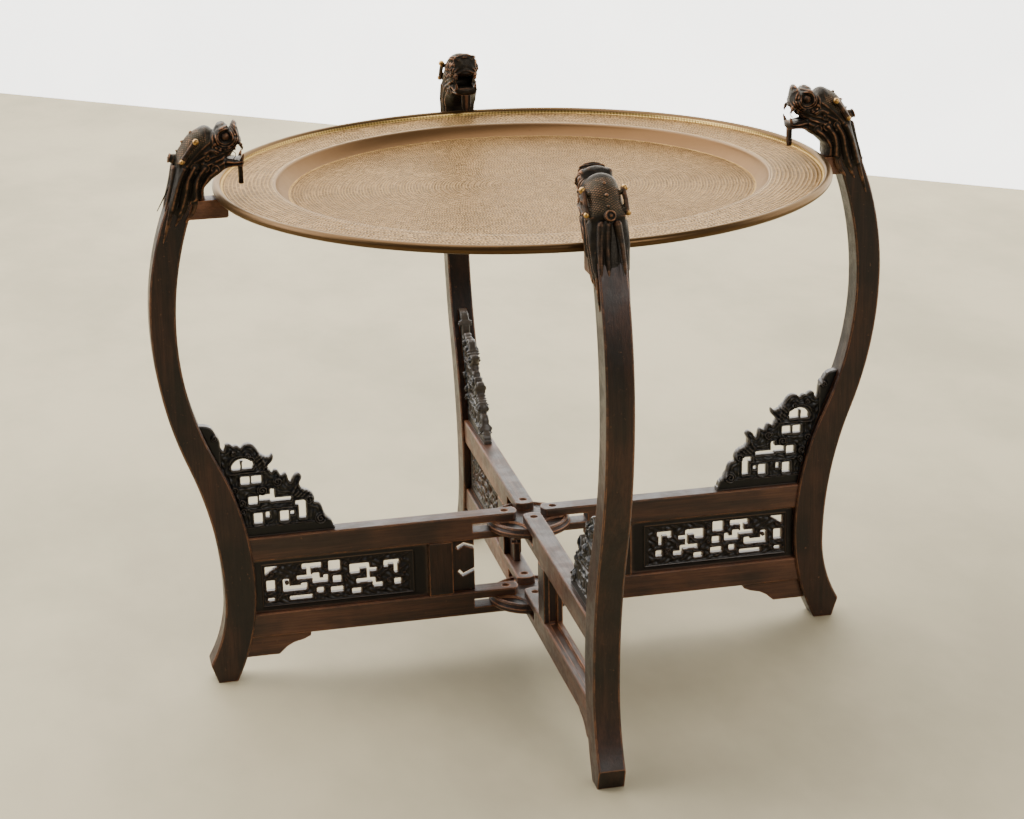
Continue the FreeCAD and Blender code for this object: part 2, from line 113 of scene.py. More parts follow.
class Paint:
    """A material being made: node() adds any node, and the rest are the usual patterns."""

    def __init__(self, name):
        self.material = bpy.data.materials.new(name)
        self.material.use_nodes = True
        self.tree = self.material.node_tree
        self.shader = self.tree.nodes["Principled BSDF"]
        self.place = self.node("ShaderNodeTexCoord", {}, {}, "Object")

    def node(self, kind, settings, values, output=0):
        made = self.tree.nodes.new(kind)
        for key, value in settings.items():
            setattr(made, key, value)
        for key, value in values.items():
            self.put(made.inputs[key], value)
        return Link(self, made.outputs[output])

    def put(self, socket, value):
        if isinstance(value, Link):
            self.tree.links.new(value.socket, socket)
        else:
            socket.default_value = value

    def set(self, **values):
        """Sets the shader's own sockets, named with underscores for spaces."""
        for key, value in values.items():
            self.put(self.shader.inputs[key.replace("_", " ")], value)

    def vector(self, operation, first, second, output=0):
        return self.node("ShaderNodeVectorMath", {"operation": operation},
                         {0: first, 1: second}, output)

    def axes(self):
        split = self.node("ShaderNodeSeparateXYZ", {}, {0: self.place})
        return [Link(self, socket) for socket in split.socket.node.outputs]

    def noise(self, scale, detail=3.0, rough=0.55, stretch=(1, 1, 1)):
        place = self.vector("MULTIPLY", self.place, stretch)
        return self.node("ShaderNodeTexNoise", {},
                         {"Vector": place, "Scale": scale, "Detail": detail, "Roughness": rough})

    def mix(self, share, first, second):
        first, second = (c if isinstance(c, Link) else (*c, 1.0) for c in (first, second))
        made = self.tree.nodes.new("ShaderNodeMix")
        made.data_type = "RGBA"
        for index, value in ((0, share), (6, first), (7, second)):
            self.put(made.inputs[index], value)
        return Link(self, made.outputs[2])

    def attribute(self, name):
        return self.node("ShaderNodeAttribute", {"attribute_name": name}, {}, "Fac")

    def worn_edge(self, radius):
        """1 along edges of the shape, fading to 0 over about the radius, and a rounded normal."""
        soft = self.node("ShaderNodeBevel", {"samples": 6}, {"Radius": radius})
        true = self.node("ShaderNodeNewGeometry", {}, {}, "Normal")
        agree = self.vector("DOT_PRODUCT", soft, true, "Value")
        return (1.0 - agree).smooth(0.005, 0.12), soft

    def bump(self, height, distance, strength=1.0, under=None):
        values = {"Height": height, "Distance": distance, "Strength": strength}
        if under is not None:
            values["Normal"] = under
        return self.node("ShaderNodeBump", {}, values)


def wood(name, grain, dark, red, worn, shine):
    """Old stained hardwood, its grain running along the axis where grain is small."""
    paint = Paint(name)
    fibre = paint.noise(420.0, 5.0, 0.65, grain)
    streak = paint.noise(70.0, 4.0, stretch=grain)
    blotch = paint.noise(9.0, 3.0).smooth(0.42, 0.68)
    rub = paint.noise(38.0, 4.0, 0.7).smooth(0.38, 0.62)
    tone = paint.mix(blotch * 0.6 + streak.smooth(0.42, 0.66) * 0.5, dark, red)
    tone = paint.mix(fibre.smooth(0.40, 0.62) * 0.4, tone, [0.5 * c for c in dark])
    edge, soft = paint.worn_edge(0.003)
    edge = edge * (rub * 0.9 + 0.25)
    tone = paint.mix(edge * 0.9, tone, worn)
    scuff = paint.noise(160.0, 6.0, 0.8).smooth(0.62, 0.72)
    tone = paint.mix(scuff * 0.4, tone, worn)
    pores = paint.noise(900.0, 2.0, 0.7, [c**0.5 for c in grain])
    grainy = paint.bump(fibre + streak * 0.5 + pores * 0.6, 0.0004, 0.8, soft)
    paint.set(Base_Color=tone, Roughness=fibre * 0.14 + rub * 0.14 + shine,
              Normal=grainy, Specular_IOR_Level=0.32, Coat_Weight=0.10, Coat_Roughness=0.25)
    return paint.material


def carved_wood(name, dark, high):
    """Blackened carving: the raised attribute lightens ridges, as rubbed wear with a painted
    highlight, and darkens hollows; faces that point up get painted light.
    """
    paint = Paint(name)
    raised = paint.attribute("raised")
    grain = paint.noise(260.0, 4.0, 0.6, (0.15, 1, 1))
    dust = paint.noise(60.0, 4.0)
    ridge_wear_and_highlight = raised.smooth(0.10, 0.80)
    level = paint.node("ShaderNodeNewGeometry", {}, {}, "Normal")
    # faces that point up: painted light on the ledges of the openings, broken up by dust
    top_light_and_dust = paint.node("ShaderNodeSeparateXYZ", {}, {0: level}, "Z").smooth(0.80, 0.96)
    tone = paint.mix(dust.smooth(0.5, 0.75) * 0.4, dark, [2.1 * c for c in dark])
    # ridges lighter: rubbed wear and a painted highlight
    tone = paint.mix(ridge_wear_and_highlight * (grain * 0.5 + 0.45), tone, high)
    tone = paint.mix(raised.smooth(-0.1, -0.7) * 0.7, tone, [0.35 * c for c in dark])
    # painted light on faces that point up, mixed with dust noise
    tone = paint.mix(top_light_and_dust * (dust * 0.5 + 0.3), tone, (0.075, 0.048, 0.030))
    paint.set(Base_Color=tone, Roughness=0.38 - ridge_wear_and_highlight * 0.12 + grain * 0.1,
              Normal=paint.bump(grain, 0.0003, 0.7), Specular_IOR_Level=0.28,
              Coat_Weight=0.07, Coat_Roughness=0.2)
    return paint.material


def bronze(name):
    """Dark patina on cast bronze, rubbed to copper on the ridges, olive on the scales."""
    paint = Paint(name)
    raised = paint.attribute("raised")
    scaled = paint.attribute("scaled")
    cloud = paint.noise(90.0, 4.0, 0.6)
    fine = paint.noise(900.0, 3.0, 0.6)
    rubbed = raised.smooth(0.16, 0.85) * cloud.smooth(0.32, 0.6)
    tone = paint.mix(cloud.smooth(0.45, 0.7) * 0.6, (0.015, 0.0125, 0.0095), (0.038, 0.028, 0.017))
    tone = paint.mix(scaled * 0.6, tone, (0.062, 0.047, 0.025))
    tone = paint.mix(rubbed * 0.9, tone, (0.27, 0.130, 0.070))
    tone = paint.mix(raised.smooth(-0.05, -0.6) * 0.8, tone, (0.006, 0.005, 0.004))
    paint.set(Base_Color=tone, Metallic=rubbed * 0.55 + 0.35,
              Roughness=0.33 - rubbed * 0.06 + fine * 0.1,
              Normal=paint.bump(fine + cloud * 3.0, 0.0006, 0.6),
              Specular_IOR_Level=0.3, Specular_Tint=(0.78, 0.70, 0.60, 1.0))
    return paint.material


def gilt(name):
    paint = Paint(name)
    wear = paint.noise(700.0, 3.0)
    tone = paint.mix(wear.smooth(0.45, 0.7), (0.46, 0.27, 0.085), (0.22, 0.11, 0.045))
    paint.set(Base_Color=tone, Metallic=0.9, Roughness=wear * 0.25 + 0.2,
              Normal=paint.bump(wear, 0.0002, 0.5))
    return paint.material


def tarnished_metal(name):
    paint = Paint(name)
    rust = paint.noise(1200.0, 4.0, 0.7)
    tone = paint.mix(rust.smooth(0.4, 0.65), (0.05, 0.032, 0.024), (0.30, 0.13, 0.07))
    paint.set(Base_Color=tone, Metallic=0.6, Roughness=rust * 0.3 + 0.3,
              Normal=paint.bump(rust, 0.0004, 0.8))
    return paint.material


# where the tray's looks change: radii in millimetres between which each one fades in and out
WELL_TO_RIM = (290.0, 296.0)
SMOOTH_WALL = (285.0, 286.5), (304.5, 303.0)
SMOOTH_BEAD = (366.0, 367.5)
# the lip band is where a painted highlight runs round the well
LIP_HIGHLIGHT = (300.5, 302.5), (309.0, 304.5)
RIM_LINE = (364.6, 365.8), (368.4, 367.2)
FOOT_LINE = (283.2, 284.2), (286.8, 286.0)


def band(radius, rise, fall):
    """1 between the two edges of a ring and 0 away from it."""
    return radius.smooth(*rise) * radius.smooth(*fall)


def hammered_brass(name, look):
    """Aged brass: rows of slanting hammer marks on the well and the flat rim, with painted shade in
    their hollows and a painted highlight on their crests.
    """
    paint = Paint(name)
    x, y, z = paint.axes()
    radius = (x * x + y * y) ** 0.5 / MM
    rim_pitch, well_pitch = look.mark_pitch / MM, look.well_pitch / MM
    rim_length, well_length = look.mark_length / MM, look.well_length / MM
    sway = paint.noise(16.0, 2.0) * rim_pitch * 0.7
    outer = radius.smooth(*WELL_TO_RIM)
    turn = y.math("ARCTAN2", x) / (2.0 * math.pi)
    smooth_wall = band(radius, *SMOOTH_WALL)
    smooth_bead = radius.smooth(*SMOOTH_BEAD)
    worked = (1.0 - smooth_wall) * (1.0 - smooth_bead)
    pitch = outer * (rim_pitch - well_pitch) + well_pitch
    rows = (radius + sway) / pitch
    row = rows.math("FLOOR")
    across = rows - row
    length = outer * (rim_length - well_length) + well_length
    marks = ((row + 0.5) * pitch / length * (2.0 * math.pi)).math("ROUND")
    shift = paint.node("ShaderNodeTexWhiteNoise", {"noise_dimensions": "1D"}, {"W": row})
    slant = across * (row.math("PINGPONG", 1.0) * 2.0 - 1.0) * 0.55
    count = turn * marks + slant + shift
    along = count.math("FRACT")
    mark = paint.node("ShaderNodeCombineXYZ", {}, {0: row, 1: count.math("FLOOR")})
    chance = paint.node("ShaderNodeTexWhiteNoise", {"noise_dimensions": "2D"},
                        {"Vector": mark})
    dent = (across * math.pi).math("SINE") ** 0.6 * (along * math.pi).math("SINE")
    # painted shade in the hollows of the hammer marks, stronger on some marks than on others
    painted_dent_shade = dent.smooth(0.30, 0.65) * worked * (chance * 1.2 + 0.2)
    # painted highlight on the crests between the hammer marks
    crest = dent.smooth(0.45, 0.15) * worked
    ripple = paint.noise(14.0, 2.0)
    cloud = paint.noise(6.0, 4.0, 0.6)
    spots = paint.noise(110.0, 5.0, 0.75)
    uneven = paint.noise(45.0, 3.0).smooth(0.3, 0.65)
    tone = paint.mix(cloud.smooth(0.35, 0.7), look.brass, look.brass_warm)
    # the next two mixes paint shade into the dents and a highlight onto their crests
    tone = paint.mix(painted_dent_shade * (uneven * 0.35 + 0.6), tone, look.brass_spots_and_dent_shade)
    tone = paint.mix(crest * (uneven * 0.5 + 0.3), tone, look.brass_crest_highlight)
    tone = paint.mix(smooth_wall * 0.9, tone, look.brass_smooth)
    tone = paint.mix(smooth_bead * 0.95, tone, look.brass_edge)
    tone = paint.mix(spots.smooth(0.60, 0.78) * 0.35, tone, look.brass_spots_and_dent_shade)
    # painted highlight along the lip round the well
    lip = band(radius, *LIP_HIGHLIGHT)
    tone = paint.mix(lip * 0.22, tone, look.brass_lip_highlight)
    dots = (along * math.pi).math("SINE") * 0.8 + 0.2
    rim_line = band(radius, *RIM_LINE)
    foot_line = band(radius, *FOOT_LINE)
    tone = paint.mix(rim_line * dots, tone, (0.75, 0.52, 0.17))
    tone = paint.mix(foot_line * dots * 0.8, tone, (0.60, 0.38, 0.13))
    dents = paint.bump(dent * worked * (chance * -1.2 - 0.3), 0.0030, 1.0)
    waves = paint.bump(ripple, 0.004, 0.12, dents)
    paint.set(Base_Color=tone, Metallic=0.75,
              Roughness=cloud * 0.12 + spots * 0.10 + 0.27 - smooth_bead * 0.05
              + smooth_wall * 0.05, Normal=waves,
              Specular_Tint=(0.84, 0.71, 0.55, 1.0))
    return paint.material


def plain_floor(name, colour):
    paint = Paint(name)
    cloud = paint.noise(2.2, 5.0, 0.62, (1, 0.6, 1))
    tone = paint.mix(cloud.smooth(0.36, 0.66), colour, [0.80 * c for c in colour])
    paint.set(Base_Color=tone, Roughness=0.75)
    return paint.material


# ---------------------------------------------------------------- mesh helpers

def mesh_from(name, points, faces, smooth=True):
    """A mesh from points in millimetres, its faces turned outwards."""
    mesh = bpy.data.meshes.new(name)
    mesh.from_pydata((np.asarray(points, float) * MM).tolist(), [], faces)
    shape = bmesh.new()
    shape.from_mesh(mesh)
    bmesh.ops.remove_doubles(shape, verts=shape.verts, dist=1e-7)
    bmesh.ops.recalc_face_normals(shape, faces=shape.faces)
    for face in shape.faces:
        face.smooth = smooth
    shape.to_mesh(mesh)
    shape.free()
    return mesh


def point_values(mesh, key):
    """A three-part value of every point of the mesh, one row for each point."""
    values = np.empty(len(mesh.vertices) * 3)
    mesh.vertices.foreach_get(key, values)
    return values.reshape(-1, 3)


def store_values(mesh, name, values):
    """Keeps a number for each point, where a material can read it by name."""
    store = mesh.attributes.new(name, "FLOAT", "POINT")
    store.data.foreach_set("value", values.astype(np.float32))


def ring_faces(rings, around):
    """Faces that join rings of points into a tube, and one face to close each end."""
    faces = []
    for ring in range(rings - 1):
        for corner in range(around):
            after = (corner + 1) % around
            faces.append((ring * around + corner, ring * around + after,
                          (ring + 1) * around + after, (ring + 1) * around + corner))
    faces.append(tuple(range(around)))
    faces.append(tuple(range((rings - 1) * around, rings * around)))
    return faces


def piece(name, mesh, material, turn=0.0):
    made = bpy.data.objects.new(name, mesh)
    bpy.context.scene.collection.objects.link(made)
    made.matrix_world = Matrix.Rotation(math.radians(turn), 4, "Z")
    if material is not None and material.name not in mesh.materials:
        mesh.materials.append(material)
    return made


def finished_mesh(mesh, *modifiers):
    """The mesh with modifiers applied; each is (type, {setting: value})."""
    made = piece("making", mesh, None)
    for kind, settings in modifiers:
        modifier = made.modifiers.new(kind, kind)
        for key, value in settings.items():
            setattr(modifier, key, value)
    graph = bpy.context.evaluated_depsgraph_get()
    result = bpy.data.meshes.new_from_object(made.evaluated_get(graph))
    bpy.data.objects.remove(made)
    return result


def tube(points, radii, flat=1.0, sides=12):
    """A tube with rounded ends along the points; flat scales it across its own plane."""
    points = np.asarray(points, float)
    radii = np.broadcast_to(np.asarray(radii, float), (len(points),))
    ahead = np.gradient(points, axis=0)
    ahead /= np.linalg.norm(ahead, axis=1)[:, None]
    up = np.array([0.0, 1.0, 0.0])
    rings = []
    for index, (point, radius, way) in enumerate(zip(points, radii, ahead)):
        side = np.cross(way, up)
        if np.linalg.norm(side) < 1e-3:
            side = np.cross(way, [1.0, 0.0, 0.0])
        side /= np.linalg.norm(side)
        lift = np.cross(side, way)
        steps = [(0.0, 1.0)]
        if index == 0:
            steps = [(-1.0, 0.05), (-0.85, 0.5), (-0.5, 0.85), (0.0, 1.0)]
        if index == len(points) - 1:
            steps = [(0.0, 1.0), (0.5, 0.85), (0.85, 0.5), (1.0, 0.05)]
        for reach, share in steps:
            turn = np.linspace(0, 2 * np.pi, sides, endpoint=False)[:, None]
            ring = point + way * reach * radius + radius * share * (
                np.cos(turn) * side + np.sin(turn) * lift * flat)
            rings.append(ring)
    return np.concatenate(rings), ring_faces(len(rings), sides)


def ball(centre, radius, squash=(1, 1, 1)):
    around, down = 20, 10
    polar = np.linspace(0.02, np.pi - 0.02, down)
    turn = np.linspace(0, 2 * np.pi, around, endpoint=False)
    points = [(radius * squash[0] * math.sin(p) * math.cos(t) + centre[0],
               radius * squash[1] * math.sin(p) * math.sin(t) + centre[1],
               radius * squash[2] * math.cos(p) + centre[2]) for p in polar for t in turn]
    return np.array(points), ring_faces(down, around)


def gather(shapes):
    """Joins (points, faces) pairs into one pair."""
    points, faces, start = [], [], 0
    for some_points, some_faces in shapes:
        points.append(np.asarray(some_points, float))
        faces.extend(tuple(start + i for i in face) for face in some_faces)
        start += len(some_points)
    return np.concatenate(points), faces


def smooth_line(points, steps=6):
    """A Catmull-Rom curve through the points."""
    points = np.asarray(points, float)
    padded = np.concatenate([[2 * points[0] - points[1]], points,
                             [2 * points[-1] - points[-2]]])
    out = []
    for i in range(1, len(padded) - 2):
        a, b, c, d = padded[i - 1:i + 3]
        for t in np.linspace(0, 1, steps, endpoint=False):
            out.append(0.5 * (2 * b + (c - a) * t + (2 * a - 5 * b + 4 * c - d) * t**2
                              + (3 * b - a - 3 * c + d) * t**3))
    out.append(padded[-2])
    return np.array(out)


def line_distance(x, z, points):
    """Distance from every (x, z) to the polyline through the points."""
    best = np.full(np.shape(x), 1e9)
    for (ax, az), (bx, bz) in zip(points[:-1], points[1:]):
        dx, dz = bx - ax, bz - az
        share = np.clip(((x - ax) * dx + (z - az) * dz) / (dx * dx + dz * dz + 1e-12), 0, 1)
        best = np.minimum(best, np.hypot(x - ax - share * dx, z - az - share * dz))
    return best


def hump(x, z, points, wide):
    """1 along the curve through the points, falling off to its sides over the width."""
    return np.exp(-(line_distance(x, z, smooth_line(points, 4)) / wide)**2)


def outline_distance(x, z, corners):
    """Signed distance to a closed outline, negative inside."""
    corners = [tuple(c) for c in corners]
    best = line_distance(x, z, corners + corners[:1])
    inside = np.zeros(np.shape(x), bool)
    for (ax, az), (bx, bz) in zip(corners, corners[1:] + corners[:1]):
        crossing = (az > z) != (bz > z)
        at = ax + (z - az) * (bx - ax) / (bz - az if bz != az else 1e-9)
        inside ^= crossing & (x < at)
    return np.where(inside, -best, best)


def window_distance(x, z, x0, x1, z0, z1, corner=1.2):
    """Signed distance to a rectangle with rounded corners, negative inside."""
    dx = np.abs(x - (x0 + x1) / 2) - (x1 - x0) / 2 + corner
    dz = np.abs(z - (z0 + z1) / 2) - (z1 - z0) / 2 + corner
    outside = np.hypot(np.maximum(dx, 0), np.maximum(dz, 0))
    return outside + np.minimum(np.maximum(dx, dz), 0) - corner


def blur(values, times):
    for _ in range(times):
        padded = np.pad(values, 1, mode="edge")
        values = (padded[:-2, 1:-1] + padded[2:, 1:-1] + padded[1:-1, :-2]
                  + padded[1:-1, 2:] + 2 * padded[1:-1, 1:-1]) / 6
    return values


def crisp(mesh, angle):
    """Keeps edges sharper than the angle, in degrees, from being shaded as round."""
    mesh.set_sharp_from_angle(angle=math.radians(angle))
    return mesh


def relief_plate(name, xs, zs, field, half):
    """A board carved on both faces. It fills the grid where field is below 0, with its
    outline cut between grid points, and half is its half-thickness at each grid point."""
    points, faces, made = [], [], {}

    def point_at(key, x, z, depth):
        if key not in made:
            made[key] = len(points)
            points.append((x, depth, z))
        return made[key]

    def corner(i, j):
        return point_at((i, j), xs[i], zs[j], half[i, j])

    def crossing(i, j, k, m):
        key = (min((i, j), (k, m)), max((i, j), (k, m)))
        share = field[i, j] / (field[i, j] - field[k, m])
        share = min(max(share, 0.08), 0.92)
        return point_at(key, xs[i] + (xs[k] - xs[i]) * share, zs[j] + (zs[m] - zs[j]) * share,
                        half[i, j] + (half[k, m] - half[i, j]) * share)

    solid = field < 0
    count = (solid[:-1, :-1].astype(int) + solid[1:, :-1] + solid[:-1, 1:] + solid[1:, 1:])
    for i, j in zip(*np.nonzero(count)):
        ring = [(i, j), (i + 1, j), (i + 1, j + 1), (i, j + 1)]
        if count[i, j] == 4:
            faces.append(tuple(corner(*c) for c in ring))
            continue
        face = []
        for here, after in zip(ring, ring[1:] + ring[:1]):
            if solid[here]:
                face.append(corner(*here))
            if solid[here] != solid[after]:
                face.append(crossing(*here, *after))
        if len(face) > 2:
            faces.append(tuple(face))
    points = np.array(points)
    size = len(points)
    used = {}
    for face in faces:
        for a, b in zip(face, face[1:] + face[:1]):
            used[(a, b)] = True
    walls = [(a, b, b + size, a + size) for a, b in used if (b, a) not in used]
    back = points * np.array([1, -1, 1])
    faces = faces + [tuple(i + size for i in reversed(face)) for face in faces] + walls
    return mesh_from(name, np.concatenate([points, back]), faces)


def mark_raised(mesh, rounds, gain):
    """Stores how far each point stands above its surroundings, as the raised attribute."""
    at = point_values(mesh, "co")
    count = len(at)
    edges = np.empty(len(mesh.edges) * 2, int)
    mesh.edges.foreach_get("vertices", edges)
    a, b = edges.reshape(-1, 2).T
    degree = np.bincount(a, minlength=count) + np.bincount(b, minlength=count)
    soft = at.copy()
    for _ in range(rounds):
        total = np.zeros_like(soft)
        for axis in range(3):
            total[:, axis] = (np.bincount(a, soft[b, axis], count)
                              + np.bincount(b, soft[a, axis], count))
        soft = 0.5 * soft + 0.5 * total / np.maximum(degree, 1)[:, None]
    raised = ((at - soft) * point_values(mesh, "normal")).sum(1) * gain
    store_values(mesh, "raised", np.clip(raised, -1, 1))


# ---------------------------------------------------------------- dragon head

HEAD_SIDE = [
    (388.5, 627.5), (388.5, 641), (384, 646.5), (377, 653), (369, 658), (361, 663.6),
    (349, 665), (341.5, 664.6), (339.4, 669.5), (340.8, 675), (347, 674.4), (355, 675.6),
    (361, 677.6), (355.5, 680), (350, 687.8), (345, 691), (341, 694), (342.2, 700),
    (343.6, 706), (345.2, 713), (347.2, 719), (350, 719.5), (352.2, 716.5), (355, 711.5),
    (358, 716), (363, 718.5), (368.5, 716.5), (372, 711.5), (374, 709.5), (378, 713.5),
    (383.5, 715.5), (388.5, 714.5), (393, 712), (398.5, 709), (404, 705), (408.5, 700), (412.5, 694),
    (416, 689), (419, 683.5), (421, 677), (421, 671), (423, 664), (425.5, 655.5),
    (428.5, 646), (431.5, 637), (434.5, 626), (436.5, 614), (434, 606), (416, 606),
    (411, 612), (403.5, 625),
]
RIDGES = [
    # (points, width, height): lips, snout, brow, crest, ear and the edge of the crown
    ([(342, 693), (350, 690), (356, 682), (364, 678.5), (374, 675), (385, 671)], 1.7, 2.4),
    ([(344, 699), (352, 696), (359, 688), (368, 683), (378, 680), (388, 676)], 1.5, 1.7),
    ([(343.5, 700), (347, 708), (349, 716)], 2.0, 2.2),
    ([(351, 698), (352.5, 706), (358, 712.5), (366, 713), (371.5, 706), (370, 697)], 2.2, 3.4),
    ([(374, 710), (376.5, 703), (376.5, 694), (381, 686), (391, 680), (399, 676)], 2.0, 2.8),
    ([(379, 699), (388, 692), (399, 682), (408, 672)], 2.4, 2.0),
    ([(372, 686), (379, 689), (386, 686)], 3.4, 3.6),
    ([(347, 667), (357, 667), (368, 662), (377, 655), (384, 648)], 1.5, 1.5),
    ([(341, 672.5), (352, 671.6), (362, 673), (370, 670)], 1.6, 1.6),
    # mane strands down the neck
    ([(374, 664), (384, 656), (390, 645), (391, 631)], 3.0, 3.2),
    ([(388, 668), (396, 657), (399, 644), (400, 631), (406, 616)], 3.3, 3.8),
    ([(400, 669), (408, 655), (411, 641), (415, 627), (421, 612)], 3.3, 3.2),
    ([(412, 668), (419, 653), (424, 637), (429, 620)], 3.0, 3.4),
]
CURLS = [(375, 665.5, 4.6), (387, 668, 4.6), (399.5, 670, 4.0), (348, 703, 2.8),
         (384, 680, 3.2), (394, 646, 3.4)]
GROOVES = [
    ([(340, 669.6), (351, 668.8), (362, 669.4)], 0.9, 1.4),
    ([(346, 702), (351, 704), (354.5, 710)], 1.0, 1.3),
    ([(382, 663), (391, 652), (395, 641), (396, 626)], 1.3, 2.2),
    ([(394, 666), (402.5, 654), (405.5, 641), (409, 626)], 1.3, 2.4),
    ([(406, 668), (413.5, 654), (418, 640), (422, 624)], 1.3, 2.2),
]
CHEEK_BEADS = [(353, 693.5, 2.0), (357.5, 690.5, 2.2), (362.5, 688, 2.1), (368, 688.5, 2.4),
               (374.5, 695.5, 2.8), (373, 691, 2.4), (383, 683, 2.6), (389.5, 673.5, 2.2),
               (398, 663, 2.3), (377.5, 672, 2.0)]
EYE = (361, 703.5, 4.4)
MOUTH_HALF = 11.6


def head_halfwidth(x, z):
    """Half-width of the head's body at each (r, z) of its side view, in millimetres."""
    edge = -outline_distance(x, z, smooth_line(HEAD_SIDE + HEAD_SIDE[:1], 3)[:-1])
    width = np.interp(x, [339, 345, 360, 375, 390, 440], [15.5, 16.4, 17.0, 18.2, 19.2, 19.2])
    jaw = (z < 677) & (x < 364)
    width = np.where(jaw, np.interp(x, [339, 350, 364], [14.6, 15.2, 15.6]), width)
    width = np.where(z < 645, np.interp(z, [606, 616, 645], [13.0, 16.4, 19.0]), width)
    crown = np.clip((z - 676) / 12, 0, 1) * np.clip((x - 374) / 8, 0, 1)
    snout = np.clip((z - 680) / 10, 0, 1) * (1 - np.clip((x - 374) / 8, 0, 1))
    soft = 5.0 + 12.0 * crown + 4.0 * snout
    soft = np.where(jaw, 3.0, np.where(z < 642, 3.0 + (z - 609) / 14, soft))
    rounded = np.sqrt(np.clip(1 - (1 - np.clip(edge / soft, 0, 1))**2, 0, 1))
    carving = np.zeros_like(x)
    for points, wide, high in RIDGES:
        carving = np.maximum(carving, high * hump(x, z, points, wide))
    for cx, cz, size in CURLS:
        away = np.hypot(x - cx, z - cz)
        ring = np.exp(-((away - size) / 1.0)**2) * 2.2 + np.exp(-(away / 1.4)**2) * 2.4
        carving = np.maximum(carving, ring)
    for cx, cz, size in CHEEK_BEADS:
        away = np.hypot(x - cx, z - cz)
        carving = np.maximum(carving, size * 1.25 * np.sqrt(np.clip(1 - (away / size)**2, 0, 1)))
    socket = np.hypot(x - EYE[0], z - EYE[1])
    carving -= 2.2 * np.exp(-((socket - EYE[2] - 1.0) / 1.0)**2)
    for points, wide, high in GROOVES:
        carving -= high * hump(x, z, points, wide)
    return np.maximum(rounded * width + carving * np.clip(edge / 2.5, 0.0, 1), 0.3), -edge


def as_shape(mesh):
    """The mesh as points in millimetres and faces."""
    return point_values(mesh, "co") / MM, [tuple(p.vertices) for p in mesh.polygons]


def scale_pattern(points):
    """Height of the crown's lozenge scales at points in millimetres, and where they are."""
    start, finish = np.array([380.0, 698.0]), np.array([415.0, 668.0])
    way = (finish - start) / np.linalg.norm(finish - start)
    over = np.array([-way[1], way[0]])
    flat = points[:, [0, 2]] - start
    along = flat @ way
    lift = flat @ over
    spread = np.arctan2(points[:, 1], np.maximum(lift, 0) + 4.0) * 17.0
    first = np.abs(np.sin(np.pi * (along + spread * 0.8) / 2.9))
    second = np.abs(np.sin(np.pi * (along - spread * 0.8) / 2.9))
    mask = (np.clip((along + 2) / 4, 0, 1) * np.clip((44 - along) / 4, 0, 1)
            * np.clip((lift + 2.0) / 3, 0, 1))
    return np.minimum(np.minimum(first, second), 0.6) / 0.6, mask


